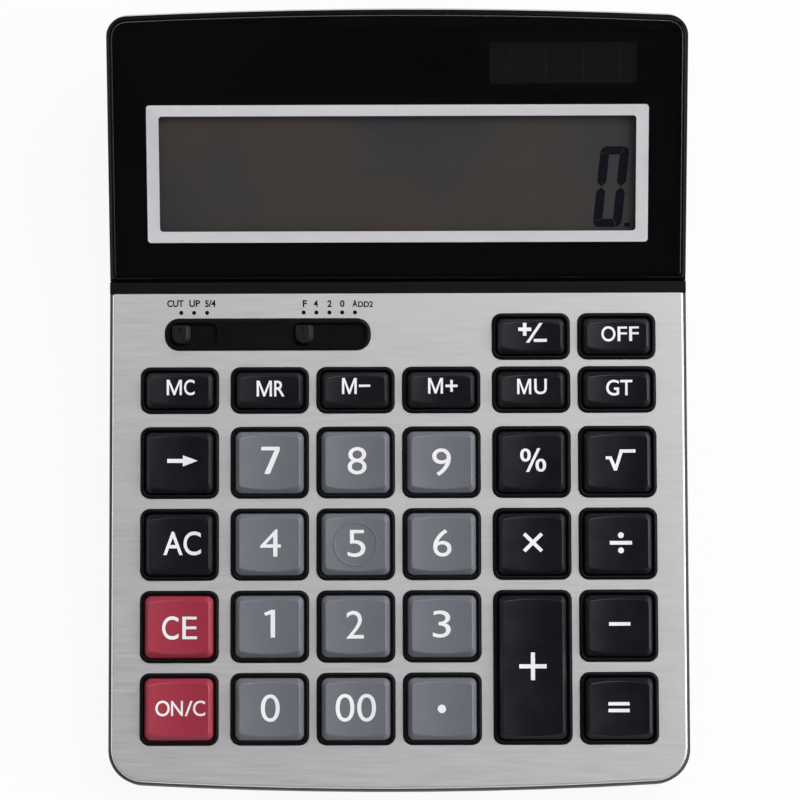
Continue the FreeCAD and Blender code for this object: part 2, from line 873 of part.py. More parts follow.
def holder_spots():
    """Posts beside the display panel, near its corners."""
    x = panel_width / 2 + holder_ear + holder_post_radius
    y = panel_height / 2 - 2 * holder_post_radius
    return [(sx * x, border_middle + sy * y) for sx in (-1, 1) for sy in (-1, 1)]


def panel_holder():
    """Tray behind the display panel, screwed to four posts of the cover."""
    low = -panel_under - holder_floor
    half = panel_width / 2
    front = panel_front + panel_ledge
    tray = block((-half, half), (front, panel_back), (low, -panel_under))
    ears = []
    for x, y in holder_spots():
        side = 1 if x > 0 else -1
        span = sorted((side * (half - root), x + side * holder_post_radius))
        ears.append(block(span, (y - holder_post_radius, y + holder_post_radius), (low, -panel_under)))
    pocket = block(
        (holder_rim - half, half - holder_rim), (front + holder_rim, panel_back - holder_rim),
        (low + holder_skin, over - panel_under))
    holes = [bar(holder_screw_radius + screw_gap, x, y, (low - over, over - panel_under))
             for x, y in holder_spots()]
    return tray.fuse(ears).cut([pocket] + holes)


def holder_screws():
    return Part.makeCompound([
        screw(holder_screw_radius, 1.8 * holder_screw_radius, holder_screw_head, x, y,
              -panel_under - holder_floor, -cover_top)
        for x, y in holder_spots()])


def solar_cell():
    return head_openings(opening_margin + solar_rim, (-cover_top - solar_thickness, -cover_top))[1]


def strip(points, thickness, x):
    """A flat strip across x that follows (y, z) points in side view."""
    upper = []
    lower = []
    for i, (y, z) in enumerate(points):
        before = points[max(i - 1, 0)]
        after = points[min(i + 1, len(points) - 1)]
        along_y = after[0] - before[0]
        along_z = after[1] - before[1]
        half = thickness / 2 / sqrt(along_y ** 2 + along_z ** 2)
        upper.append(vec(x[0], y - along_z * half, z + along_y * half))
        lower.append(vec(x[0], y + along_z * half, z - along_y * half))
    return Part.Face(closed(upper + lower[::-1])).extrude(vec(x[1] - x[0], 0, 0))


def side_points(places):
    """(y, z) of points given as a frame, a distance along it and a height over it."""
    moved = [frame.multVec(vec(0, along, height)) for frame, along, height in places]
    return [(p.y, p.z) for p in moved]


def contact_film():
    """Printed film from the foot of the display panel, under the sill, to the back edge of the board."""
    board_end = board_limits()[3]
    sill_front, sill_back, sill_low = sill_limits()
    half = ribbon_thickness / 2
    dip = sill_low - root
    points = side_points([
        (DECK, board_end - film_hold, board_under - half), (DECK, board_end, board_under - half)])
    points += [(sill_front - over, dip), (sill_back + over, dip)]
    points += side_points([
        (HEAD, panel_front, -panel_under - film_bend),
        (HEAD, panel_front + panel_ledge / 2, -panel_under - half)])
    return strip(points, ribbon_thickness, (-ribbon_width / 2, ribbon_width / 2))


# Lower case
def lower_case():
    """Tray with battery box, screw posts, foot seats and the door's opening at the back."""
    tray = plan_prism(0, (foot_height, split_height))
    rim = [e for e in tray.Edges if e.BoundBox.ZMax < foot_height + root]
    tray = tray.makeChamfer(bottom_chamfer, rim)
    tray = tray.cut(plan_prism(wall, (floor_height, split_height + over)))
    posts = [bar(post_radius, x, y, (floor_height - root, split_height)) for x, y in case_spots()]
    tray = tray.fuse([battery_box()] + locating_bars(0, split_height, 1) + posts)
    room = block(
        (box_wall - box_half, box_half - box_wall), (box_front + box_wall, box_back - box_wall),
        (foot_height - over, box_top - box_wall))
    heads = [bar(screw_head_radius + screw_gap, x, y, (foot_height - over, case_seat()), 8)
             for x, y in case_spots()]
    shanks = [bar(case_screw_radius + screw_gap, x, y, (foot_height, split_height + over))
              for x, y in case_spots()]
    seats = [foot_pad(foot_gap, x, y, (foot_height - over, foot_height + foot_recess))
             for x, y in foot_spots()]
    return tray.cut([room] + door_opening() + heads + shanks + seats)


def battery_box():
    """Block that the cell's room is cut from; over the joint it stays inside the upper case."""
    box = block((-box_half, box_half), (box_front, back_y - wall / 2), (floor_height - root, box_top))
    return box.common(plan_prism(wall + lip_gap, (0, far)).fuse(plan_prism(0, (0, split_height))))


def door_opening():
    """Room for the door: its panel and, over that, the wider flange; both run out at the back."""
    half = door_half + door_gap
    wide = half + door_flange
    front = door_start - door_gap
    panel = block((-half, half), (front, back_y + over), (foot_height - over, floor_height))
    groove = block((-wide, wide), (front - door_flange, back_y + over), (floor_height, door_top + door_play))
    return [panel, groove]


def battery_door():
    """Sliding door, flush with the underside, with a thumb grip."""
    outline = plan_prism(0, (foot_height, door_top))
    rim = [e for e in outline.Edges if e.BoundBox.ZMax < foot_height + root]
    outline = outline.makeChamfer(bottom_chamfer, rim)
    wide = door_half + door_flange
    ledge = floor_height + door_play
    panel = block((-door_half, door_half), (door_start, back_y + over), (foot_height, ledge))
    flange = block((-wide, wide), (door_start - door_flange, back_y + over), (ledge, door_top))
    grips = []
    for i in range(grip_count):
        y = door_start + grip_from_front + i * grip_pitch
        grips.append(block(
            (-grip_length / 2, grip_length / 2), (y, y + grip_width),
            (foot_height - over, foot_height + grip_depth)))
    return panel.fuse(flange).common(outline).cut(grips).removeSplitter()


def battery_cell():
    left = -(cell_length + cell_nub_length) / 2
    can = Part.makeCylinder(cell_radius, cell_length, vec(left, cell_y, cell_z), vec(1, 0, 0))
    nub = block(
        (left + cell_length, left + cell_length + cell_nub_length),
        (cell_y - cell_nub_radius, cell_y + cell_nub_radius),
        (cell_z - cell_nub_radius, cell_z + cell_nub_radius))
    return can.fuse(nub).removeSplitter()


def battery_contacts():
    """Flat plate with a stud at the nub, bent leaf spring at the flat end."""
    reach = (cell_length + cell_nub_length) / 2 + contact_gap
    end = box_half - box_wall
    half = contact_width / 2
    y = (cell_y - half, cell_y + half)
    plate = block((end - contact_thickness, end), y, (cell_z - half, cell_z + half))
    stud = block((reach, end - contact_thickness), (cell_y - half / 2, cell_y + half / 2),
                 (cell_z - half / 2, cell_z + half / 2))
    side_view = [
        (-end, -half), (contact_thickness - end, -half), (contact_thickness - end, half - contact_thickness),
        (-reach - contact_thickness, half / 4), (-reach - contact_thickness, -half / 2), (-reach, -half / 2),
        (-reach, half / 3), (2 * contact_thickness - end, half), (-end, half)]
    corners = [vec(px, y[0], cell_z + pz) for px, pz in side_view]
    leaf = Part.Face(closed(corners)).extrude(vec(0, contact_width, 0))
    return Part.makeCompound([plate.fuse(stud).removeSplitter(), leaf])


def foot_spots():
    x = case_half - foot_side
    return [(side * x, y) for side in (-1, 1) for y in (front_y + foot_front, back_y - foot_back)]


def foot_pad(gap, x, y, z):
    return rounded_block(foot_width + 2 * gap, foot_length + 2 * gap, foot_corner, x, y, z, 2)


def rubber_feet():
    """Four pads sunk in their seats."""
    return Part.makeCompound([foot_pad(0, x, y, (0, foot_height + foot_recess)) for x, y in foot_spots()])


def case_screws():
    """Screws from below through the lower case into the posts of the upper case."""
    return Part.makeCompound([
        screw(case_screw_radius, screw_head_radius, screw_head_height, x, y, case_seat(), screw_tip(y))
        for x, y in case_spots()])


# Leads, flat twin cable
def solar_leads():
    """From the back of the solar cell down behind the display holder and forward to the board."""
    board_end = board_limits()[3]
    half = lead_thickness / 2
    points = side_points([
        (HEAD, solar_middle, -cover_top - solar_thickness - half),
        (HEAD, solar_middle - solar_height, -panel_under - 2 * lead_drop),
        (HEAD, border_middle, -panel_under - lead_slack),
        (DECK, board_end + lead_hold, board_under - lead_drop),
        (DECK, board_end - lead_hold, board_under - half)])
    left = ribbon_width / 2 + lead_side
    return strip(points, lead_thickness, (left, left + lead_width))


def battery_leads():
    """From the front of the battery box forward along the floor and up to the board."""
    board_end = board_limits()[3]
    half = lead_thickness / 2
    points = side_points([
        (DECK, board_end - 2 * lead_hold, board_under - half),
        (DECK, board_end + lead_hold, board_under - lead_drop)])
    floor_line = floor_height + lead_thickness
    points += [
        (points[1][0] + 3 * lead_hold, floor_line), (box_front - lead_rise, floor_line),
        (box_front - half, floor_line + lead_rise)]
    right = -ribbon_width / 2 - lead_side
    return strip(points, lead_thickness, (right - lead_width, right))


for name, x, y, window in keys:
    cap = keycap(x, y, window)
    if name == "key_5":
        cap = cap.fuse(home_ring(x, y)).removeSplitter()
    write(name, on_deck(cap))

write("top_case", upper_case())
write("face_plate", on_deck(face_plate()))
write("rounding_knob", on_deck(switch_knob(rounding_first_stop)))
write("decimal_knob", on_deck(switch_knob(decimal_first_stop)))
write("rounding_wiper", on_deck(switch_wiper(rounding_first_stop)))
write("decimal_wiper", on_deck(switch_wiper(decimal_first_stop)))
write("key_mat", on_deck(key_mat()))
write("main_board", on_deck(main_board()))
write("board_screws", on_deck(board_screws()))
write("chip_cap", on_deck(chip_cap()))
write("capacitors", on_deck(capacitors()))
write("display_cover", on_head(display_cover()))
write("display_lens", on_head(lens()))
write("lens_mask", on_head(mask_film()))
write("window_border", on_head(window_border()))
write("lcd_panel", on_head(display_panel()))
write("lcd_holder", on_head(panel_holder()))
write("holder_screws", on_head(holder_screws()))
write("lcd_ribbon", contact_film())
write("solar_cell", on_head(solar_cell()))
write("solar_leads", solar_leads())
write("bottom_case", lower_case())
write("battery_door", battery_door())
write("battery_cell", battery_cell())
write("battery_contacts", battery_contacts())
write("battery_leads", battery_leads())
write("rubber_feet", rubber_feet())
write("case_screws", case_screws())
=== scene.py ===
"""Looks of the desktop calculator: keys with printed legends, brushed face plate, gloss display head."""
from math import cos, pi, radians, sin, sqrt

import bmesh
import bpy
from mathutils import Matrix, Vector


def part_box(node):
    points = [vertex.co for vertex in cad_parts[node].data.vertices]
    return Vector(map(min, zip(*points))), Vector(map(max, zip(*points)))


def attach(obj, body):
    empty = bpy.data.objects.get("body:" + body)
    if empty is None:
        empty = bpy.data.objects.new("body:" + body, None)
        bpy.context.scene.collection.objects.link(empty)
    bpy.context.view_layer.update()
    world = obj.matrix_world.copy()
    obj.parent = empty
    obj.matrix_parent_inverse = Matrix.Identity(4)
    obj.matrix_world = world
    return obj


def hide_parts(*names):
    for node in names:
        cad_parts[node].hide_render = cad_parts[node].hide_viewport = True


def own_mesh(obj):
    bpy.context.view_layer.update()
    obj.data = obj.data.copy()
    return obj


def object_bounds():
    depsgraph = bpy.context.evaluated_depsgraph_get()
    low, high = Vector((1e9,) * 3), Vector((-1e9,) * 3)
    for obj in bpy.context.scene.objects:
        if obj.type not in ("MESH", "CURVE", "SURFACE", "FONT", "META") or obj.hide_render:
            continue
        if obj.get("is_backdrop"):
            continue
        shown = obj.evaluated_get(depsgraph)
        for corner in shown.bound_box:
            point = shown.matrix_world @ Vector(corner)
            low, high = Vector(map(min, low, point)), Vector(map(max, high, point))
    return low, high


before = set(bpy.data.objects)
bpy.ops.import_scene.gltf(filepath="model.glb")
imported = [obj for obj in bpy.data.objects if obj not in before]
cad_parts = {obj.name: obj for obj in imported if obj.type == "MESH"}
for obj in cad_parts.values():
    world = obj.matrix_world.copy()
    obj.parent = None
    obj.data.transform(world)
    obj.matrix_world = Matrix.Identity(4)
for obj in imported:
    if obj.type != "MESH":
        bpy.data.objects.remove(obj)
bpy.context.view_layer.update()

# Places, in millimetres on the deck plane and on the head plane
MM = 0.001
TINY = 0.0001
MERGE = 0.0005
NEAR = 0.001
DECK_SLOPE = radians(3.5)
HEAD_SLOPE = radians(18.3)
DECK_HEIGHT = 12.6
FRONT_RIM = 0.48
BAND_GAP = 0.2
BAND_LENGTH = 2.9
CASE = Matrix.Scale(MM, 4)
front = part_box("top_case")[0].y / MM + FRONT_RIM
DECK = CASE @ Matrix.Translation((0, front, DECK_HEIGHT)) @ Matrix.Rotation(DECK_SLOPE, 4, "X")


def local_box(node, place):
    """Lowest and highest corner of a CAD node in millimetres on a plane."""
    inverse = place.inverted()
    points = [inverse @ v.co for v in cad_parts[node].data.vertices]
    low = Vector([min(p[i] for p in points) for i in range(3)])
    high = Vector([max(p[i] for p in points) for i in range(3)])
    return low, high


plate_high = local_box("face_plate", DECK)[1]
PLATE_HALF = plate_high.x
PLATE_LENGTH = plate_high.y
BAND_START = PLATE_LENGTH + BAND_GAP
HEAD = (DECK @ Matrix.Translation((0, BAND_START + BAND_LENGTH, 0))
        @ Matrix.Rotation(HEAD_SLOPE - DECK_SLOPE, 4, "X"))
PLATE_THICKNESS = 0.8
FRONT_BOW = 2.4
PLATE_CORNER = 8.3
BACK_CORNER = 0.3
FLAT_RING = 0.06
COLLAR_TOP = 0.45
COLLAR_WALL = 0.85
WINDOW_GAP = 0.1
WINDOW_CORNER = 2.5
KEY_GAP = 0.35
KEY_CORNER = 1.75
KEY_RISE = 2.2
DISH = 0.9
SIDE_LEAN = 1.1
END_LEAN = 1.75
FLANGE_REACH = 0.75
FLANGE_UNDER = -3.62
FLANGE_TOP = -2.72
FACE_EDGE = COLLAR_TOP + KEY_RISE
KEY_RIM = 0.22
FACE_CORNER = 0.7
WALL_FOOT = 0.1
KEY_SKIN = 1.2
POST_WIDTH = 4.0
POST_SPREAD = 10.995
DOME_WIDTH = 8.4
DOME_TOP = 5.0
DOME_PEAK = -3.74
DOME_BASE = -6.03
SURROUND_RISE = 0.45
TRACK_FLOOR = -0.65
KNOB_PLAY = 0.25
KNOB_LIFT = 0.1
SURROUND_SIDE = 1.45
OUTSIDE = 76
HEAD_LENGTH = 73.15


# Materials
class Value:
    """A socket of a material that plain arithmetic works on."""

    def __init__(self, paint, socket):
        self.paint = paint
        self.socket = socket

    def math(self, operation, other):
        made = self.paint.node("ShaderNodeMath", [("operation", operation)], **{"0": self, "1": other})
        return Value(self.paint, made.outputs[0])

    def __add__(self, other):
        return self.math("ADD", other)

    __radd__ = __add__

    def __mul__(self, other):
        return self.math("MULTIPLY", other)

    __rmul__ = __mul__


class Paint:
    """A material whose shader sockets are set to numbers, colours or patterns."""

    def __init__(self, name):
        self.material = bpy.data.materials.new(name)
        self.material.use_nodes = True
        self.tree = self.material.node_tree
        self.shader = self.tree.nodes["Principled BSDF"]
        self.output = self.tree.nodes["Material Output"]
        self.place = Value(self, self.node("ShaderNodeTexCoord").outputs["Object"])

    def node(self, kind, settings=(), **sockets):
        made = self.tree.nodes.new(kind)
        for name, value in settings:
            setattr(made, name, value)
        for name, value in sockets.items():
            self.feed(made, name, value)
        return made

    def feed(self, node, name, value):
        """Sets or links a socket, found by its number or by its name with spaces as underscores."""
        if name.isdigit():
            socket = node.inputs[int(name)]
        else:
            wanted = name.replace("_", " ")
            socket = next(s for s in node.inputs if s.name == wanted and s.enabled)
        if isinstance(value, Value):
            self.tree.links.new(value.socket, socket)
        else:
            socket.default_value = value

    def surface(self, **sockets):
        for name, value in sockets.items():
            self.feed(self.shader, name, value)

    def stretched(self, scale):
        """The object's coordinates, scaled along each axis."""
        made = self.node("ShaderNodeMapping", Vector=self.place, Scale=scale)
        return Value(self, made.outputs[0])

    def noise(self, scale, detail, place=None):
        made = self.node("ShaderNodeTexNoise", Vector=place or self.place, Scale=scale, Detail=detail)
        return Value(self, made.outputs[0])

    def ramp(self, factor, low, high, start=0.3, end=0.7):
        """Goes from low to high as the factor goes from start to end."""
        made = self.node("ShaderNodeValToRGB", Fac=factor)
        for element, position, level in zip(made.color_ramp.elements, (start, end), (low, high)):
            element.position = position
            element.color = (level, level, level, 1)
        return Value(self, made.outputs["Color"])

    def blend(self, factor, first, second):
        made = self.node("ShaderNodeMix", [("data_type", "RGBA")], Factor=factor, A=first, B=second)
        return Value(self, next(s for s in made.outputs if s.enabled))

    def bump(self, height, strength, distance):
        made = self.node("ShaderNodeBump", Strength=strength, Distance=distance, Height=height)
        return Value(self, made.outputs[0])


def colour(red, green, blue):
    """A colour as it shows, 0 to 255, as the linear one a shader takes."""
    def linear(level):
        share = level / 255
        return share / 12.92 if share <= 0.04045 else ((share + 0.055) / 1.055) ** 2.4
    return linear(red), linear(green), linear(blue), 1.0


def tinted(tint, share):
    return tuple(min(1.0, level * share) for level in tint[:3]) + (1.0,)


def moulded(name, tint, roughness, grain, grain_scale=3200, coat=0.0, gleam=0.5, mottle=0.06, wear=0.06):
    """Moulded plastic: fine grain, uneven tint, and finger-polished patches."""
    paint = Paint(name)
    cloud = paint.noise(45, 3)
    fine = paint.noise(grain_scale, 2)
    smear = paint.noise(160, 4)
    paint.surface(
        Base_Color=paint.blend(cloud, tinted(tint, 1 - mottle), tinted(tint, 1 + mottle)),
        Roughness=paint.ramp(smear, roughness - wear, roughness + wear),
        Normal=paint.bump(fine, grain, 0.00006), Specular_IOR_Level=gleam)
    if coat:
        paint.surface(Coat_Weight=coat, Coat_Roughness=0.12)
    return paint.material


def brushed(name, tint, roughness, contrast):
    """Brushed aluminium, its lines from side to side."""
    paint = Paint(name)
    lines = paint.noise(1, 3, paint.stretched((90, 3000, 90)))
    broad = paint.noise(1, 2, paint.stretched((60, 1200, 60)))
    mixed = lines * 0.75 + broad * 0.25
    paint.surface(
        Base_Color=paint.blend(paint.ramp(mixed, 0.0, 1.0),
                               tinted(tint, 1 - contrast), tinted(tint, 1 + contrast)),
        Metallic=1.0,
        Roughness=paint.ramp(mixed, roughness - 0.05, roughness + 0.07),
        Normal=paint.bump(lines, 0.09, 0.00004))
    return paint.material


def metal(name, tint, roughness):
    """Plated or turned metal with faint scuffs."""
    paint = Paint(name)
    scuff = paint.noise(1500, 4)
    paint.surface(
        Base_Color=paint.blend(paint.noise(120, 2), tinted(tint, 0.86), tinted(tint, 1.08)),
        Metallic=1.0,
        Roughness=paint.ramp(scuff, roughness - 0.08, roughness + 0.1),
        Normal=paint.bump(scuff, 0.08, 0.00003))
    return paint.material


def gloss(name, tint, roughness, gleam=0.5):
    """Polished plastic or glass with a trace of dust and handling haze."""
    haze = 0.03
    paint = Paint(name)
    dust = paint.noise(900, 3)
    wipe = paint.noise(1, 3, paint.stretched((14, 60, 60)))
    paint.surface(
        Base_Color=paint.blend(paint.ramp(dust, 0.0, 1.0, 0.55, 0.8), tint, tinted(tint, 1.5)),
        Roughness=paint.ramp(wipe, roughness, roughness + haze, 0.35, 0.75),
        Normal=paint.bump(paint.noise(30, 2), 0.02, 0.0002), Specular_IOR_Level=gleam)
    return paint.material


def panel_film(name, cool, warm, fine_contrast):
    """Polarising film of the display: patches of cool and warm grey painted in as a faint reflection, under a
    fine grain.
    """
    paint = Paint(name)
    patches = paint.noise(1, 3, paint.stretched((26, 34, 26)))
    grain = paint.noise(2600, 2)
    # The broad cool and warm patches are a painted reflection on the film
    painted_reflection = paint.blend(paint.ramp(patches, 0.0, 1.0, 0.38, 0.62), cool, warm)
    paint.surface(
        Base_Color=paint.blend(grain * fine_contrast, painted_reflection, tinted(warm, 1.6)),
        Roughness=paint.ramp(paint.noise(90, 3), 0.36, 0.46),
        Normal=paint.bump(grain, 0.02, 0.00004), Specular_IOR_Level=0.1)
    return paint.material


def clear_lens(name, tint, low, high):
    """Clear acrylic: mostly see-through, with a faint uneven film on it."""
    paint = Paint(name)
    wipe = paint.noise(1, 3, paint.stretched((14, 60, 60)))
    paint.surface(
        Base_Color=tint, Roughness=paint.ramp(wipe, 0.02, 0.05, 0.35, 0.75),
        Alpha=paint.ramp(paint.noise(60, 3), low, high))
    return paint.material


def banded(name, tint, line, pitch, thickness, roughness):
    """Tint crossed by thin lines at a pitch from left to right."""
    paint = Paint(name)
    split = paint.node("ShaderNodeSeparateXYZ", Vector=paint.stretched((1 / pitch, 0, 0)))
    saw = Value(paint, split.outputs[0]).math("FRACT", 0.0)
    on_line = saw.math("LESS_THAN", thickness / pitch)
    shaded = paint.blend(paint.noise(90, 3), tinted(tint, 0.8), tinted(tint, 1.25))
    paint.surface(
        Base_Color=paint.blend(on_line, shaded, line),
        Roughness=paint.ramp(paint.noise(500, 2), roughness - 0.05, roughness + 0.05),
        Normal=paint.bump(paint.noise(1800, 2), 0.05, 0.00004))
    return paint.material


grey_plastic = moulded("grey_key_plastic", colour(113, 115, 124), 0.34, 0.08, coat=0.1)
red_plastic = moulded("red_key_plastic", colour(165, 49, 70), 0.34, 0.08, coat=0.1)
black_plastic = moulded("black_key_plastic", colour(9, 9, 20), 0.34, 0.08, gleam=0.36)
case_plastic = moulded("case_plastic", colour(8, 8, 9), 0.5, 0.22, 2400, gleam=0.15, wear=0.015)
collar_plastic = moulded("collar_plastic", colour(5, 5, 6), 0.4, 0.1, 2800, gleam=0.15)
knob_plastic = moulded("knob_plastic", colour(17, 18, 22), 0.4, 0.12, 2600, gleam=0.3)
cover_gloss = gloss("cover_gloss", colour(10, 10, 11), 0.1, 0.13)
lens_clear = clear_lens("clear_lens", (0.02, 0.02, 0.02, 1), 0.02, 0.035)
# Half-opaque mid-grey on the lens's rounded edges: a painted highlight line round the lens
lens_edge_highlight = clear_lens("lens_edge_highlight", colour(128, 128, 128), 0.5, 0.6)
mask_print = gloss("mask_print", colour(3, 3, 4), 0.1, 0.22)
silver_print = moulded("silver_print", colour(226, 225, 230), 0.45, 0.04, 4000, mottle=0.02)
panel_glass = panel_film("panel_glass", colour(60, 61, 64), colour(72, 66, 62), 0.12)
segment_dark = moulded("segment_dark", colour(15, 19, 26), 0.6, 0.02, 4000, gleam=0.05)
plate_metal = brushed("plate_metal", colour(216, 214, 216), 0.58, 0.065)
# Tint brighter than the plate metal: a painted highlight on the plate's rounded edges and window lips; the
# lower roughness is the polished edge finish
edge_highlight_metal = metal("edge_highlight_metal", colour(236, 236, 240), 0.4)
legend_print = moulded("legend_print", colour(252, 252, 255), 0.45, 0.05, 4000, gleam=1.0, mottle=0.01)
label_print = moulded("label_print", colour(8, 8, 10), 0.5, 0.05, 4000, gleam=0.1)
silicone_skin = moulded("silicone_skin", colour(172, 174, 176), 0.62, 0.18, 1800)
board_green = banded("board_green", colour(28, 84, 48), colour(60, 116, 70), 0.0024, 0.0005, 0.4)
film_amber = banded("film_amber", colour(176, 104, 36), colour(108, 62, 24), 0.0016, 0.0006, 0.35)
solar_glass = banded("solar_glass", colour(9, 8, 9), colour(24, 21, 22), 0.00995, 0.0003, 0.14)
resin_black = gloss("resin_black", colour(12, 12, 12), 0.35)
holder_plastic = moulded("holder_plastic", colour(202, 202, 198), 0.5, 0.15, 2400)
capacitor_sleeve = moulded("capacitor_sleeve", colour(20, 26, 58), 0.35, 0.05)
lead_sleeve = banded("lead_sleeve", colour(150, 26, 28), colour(20, 20, 20), 0.0024, 0.0012, 0.4)
plated_steel = metal("plated_steel", colour(190, 190, 186), 0.28)
spring_steel = metal("spring_steel", colour(206, 204, 198), 0.22)
cell_wrap = banded("cell_wrap", colour(34, 92, 60), colour(200, 168, 92), 0.05, 0.012, 0.3)
rubber_black = moulded("rubber_black", colour(26, 26, 26), 0.78, 0.3, 1600)
# Grey copy of the black case plastic: a painted highlight on the case's rounded rim and on the ledge round
# the plate
rim_highlight_plastic = moulded("rim_highlight_plastic", colour(84, 80, 82), 0.35, 0.05, 2400)
door_plastic = moulded("door_plastic", colour(8, 8, 9), 0.5, 0.22, 2400, gleam=0.15, wear=0.015)


# Making pieces
def mesh_of(bm, name):
    """Ends a shape and gives its mesh."""
    mesh = bpy.data.meshes.new(name)
    bm.to_mesh(mesh)
    bm.free()
    return mesh


def in_scene(name, data):
    made = bpy.data.objects.new(name, data)
    bpy.context.scene.collection.objects.link(made)
    return made


def piece(name, bm, place, body, materials, replaced=(), sharp=35, weighted=True):
    """Turns a shape in millimetres into an object that rides on a body."""
    bmesh.ops.transform(bm, matrix=place, verts=bm.verts)
    mesh = mesh_of(bm, name)
    mesh.shade_smooth()
    mesh.set_sharp_from_angle(angle=radians(sharp))
    made = in_scene(name, mesh)
    for material in materials:
        mesh.materials.append(material)
    if weighted:
        made.modifiers.new("weighted", "WEIGHTED_NORMAL").keep_sharp = True
    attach(made, body)
    if replaced:
        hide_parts(*replaced)
    return made


def dress(node, material):
    """Gives a CAD node its finish."""
    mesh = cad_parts[node].data
    if not mesh.materials:
        mesh.materials.append(material)
    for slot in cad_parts[node].material_slots:
        slot.material = material


def fresh(bm, made_before):
    """Edges that are new, and their corners."""
    edges = [e for e in bm.edges if e not in made_before]
    return edges, {v for e in edges for v in e.verts}


def open_loop(bm, made_before):
    """Takes the face out of a new outline and gives the outline's edges."""
    edges = fresh(bm, made_before)[0]
    bmesh.ops.delete(bm, geom=[edges[0].link_faces[0]], context="FACES_ONLY")
    return edges


def rectangle(bm, width, height, place):
    made = bmesh.ops.create_grid(bm, x_segments=1, y_segments=1, size=0.5,
                                 matrix=place @ Matrix.Diagonal((width, height, 1, 1)))
    return made["verts"]


def bevel(bm, geom, radius, segments, affect="EDGES", clamp=False, material=-1):
    bmesh.ops.bevel(bm, geom=geom, offset=radius, offset_type="OFFSET", segments=segments, profile=0.5,
                    affect=affect, clamp_overlap=clamp, material=material)


def loop(bm, width, height, corner, x, y, z, segments=5):
    """Edges of a rectangle with round corners, as an open loop on a plane."""
    before = set(bm.edges)
    bevel(bm, rectangle(bm, width, height, Matrix.Translation((x, y, z))), corner, segments, "VERTICES")
    return open_loop(bm, before)


def bowed_loop(bm, inset, z):
    """Outline of the face plate, drawn in at its sides and front: bowed front edge, large front corners."""
    before = set(bm.edges)
    half = PLATE_HALF - inset
    length = PLATE_LENGTH - inset
    rectangle(bm, 2 * half, length, Matrix.Translation((0, inset + length / 2, z)))
    front_edge = min(fresh(bm, before)[0], key=lambda e: e.verts[0].co.y + e.verts[1].co.y)
    bow_cuts = 9
    bmesh.ops.subdivide_edges(bm, edges=[front_edge], cuts=bow_cuts)
    bend = (half ** 2 + FRONT_BOW ** 2) / (2 * FRONT_BOW)
    for vert in fresh(bm, before)[1]:
        if vert.co.y < inset + length / 2:
            vert.co.y = inset + bend - sqrt(bend ** 2 - vert.co.x ** 2)
    for near, corner, segments in ((True, PLATE_CORNER - inset, 9), (False, BACK_CORNER, 3)):
        verts = [v for v in fresh(bm, before)[1]
                 if abs(abs(v.co.x) - half) < NEAR and (v.co.y < FRONT_BOW + 1) == near]
        bevel(bm, verts, corner, segments, "VERTICES")
    return open_loop(bm, before)


def inset_loop(bm, outline, inset, z, segments=5):
    """A loop drawn in from an outline of width, height, corner and middle."""
    width, height, corner, x, y = outline
    return loop(bm, width - 2 * inset, height - 2 * inset, corner - inset, x, y, z, segments)


def fill(bm, edges, up=1):
    """Closes a flat outline, with holes where it holds others."""
    bmesh.ops.triangle_fill(bm, use_beauty=True, edges=edges, normal=(0, 0, up))


def skin(bm, loops, closed=False):
    """Joins loops in their order, with a wall, or with a flat ring where two lie on one level."""
    following = loops[1:] + loops[:1] if closed else loops[1:]
    for first, second in zip(loops, following):
        if abs(first[0].verts[0].co.z - second[0].verts[0].co.z) < TINY:
            fill(bm, first + second)
        else:
            bmesh.ops.bridge_loops(bm, edges=first + second)


def capped_skin(bm, loops):
    skin(bm, loops)
    for end in (loops[0], loops[-1]):
        bmesh.ops.contextual_create(bm, geom=end)


def block(bm, size, middle):
    place = Matrix.Translation(middle) @ Matrix.Diagonal((*size, 1))
    bmesh.ops.create_cube(bm, size=1, matrix=place)


def cut(bm, point, normal, geom=None, near=MERGE, clear=False):
    """Cuts a shape, or some of it, along a plane, and clears what lies past the plane on request."""
    bmesh.ops.bisect_plane(bm, geom=geom or bm.verts[:] + bm.edges[:] + bm.faces[:], dist=near,
                           plane_co=point, plane_no=normal, clear_outer=clear)


def take_in(bm, shape):
    """Adds another shape and ends it."""
    mesh = mesh_of(shape, "shape")
    bm.from_mesh(mesh)
    bpy.data.meshes.remove(mesh)


def shift(bm, x, y, z=0):
    bmesh.ops.translate(bm, vec=(x, y, z), verts=bm.verts)


def outward(bm):
    """Joins corners that meet and turns every face outwards."""
    bmesh.ops.remove_doubles(bm, verts=bm.verts, dist=MERGE)
    bmesh.ops.recalc_face_normals(bm, faces=bm.faces)


def rounding(radius, steps=3):
    """Steps of a quarter round, as (drawn in, below the top)."""
    return [(radius * (1 - cos(a)), radius * (1 - sin(a)))
            for a in (i * pi / 2 / steps for i in range(steps + 1))]


# Face plate
key_nodes = sorted(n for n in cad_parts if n.startswith("key_") and n != "key_mat")
key_place = {}
for node in key_nodes:
    low, high = local_box(node, DECK)
    key_place[node] = (
        (low.x + high.x) / 2, (low.y + high.y) / 2,
        high.x - low.x - 2 * FLANGE_REACH, high.y - low.y - 2 * FLANGE_REACH)
TO_WINDOW = 2 * (COLLAR_WALL + KEY_GAP + WINDOW_GAP)
knob_low, knob_high = local_box("rounding_knob", DECK)
decimal_low, decimal_high = local_box("decimal_knob", DECK)
SWITCH_Y = (knob_low.y + knob_high.y) / 2
STOP_PITCH = 3.457
FLARE = 0.3
TRACKS = [(knob_low.x - KNOB_PLAY, knob_high.x + KNOB_PLAY + FLARE + 2 * STOP_PITCH),
          (decimal_low.x - KNOB_PLAY, decimal_high.x + KNOB_PLAY + FLARE + 4 * STOP_PITCH)]
TRACK_HEIGHT = 6.1
surround_left = TRACKS[0][0] - SURROUND_SIDE
surround_right = TRACKS[1][1] + SURROUND_SIDE - FLARE
# Width, height, corner and middle
SURROUND = (surround_right - surround_left, 8.35, 3.6, (surround_left + surround_right) / 2, SWITCH_Y)


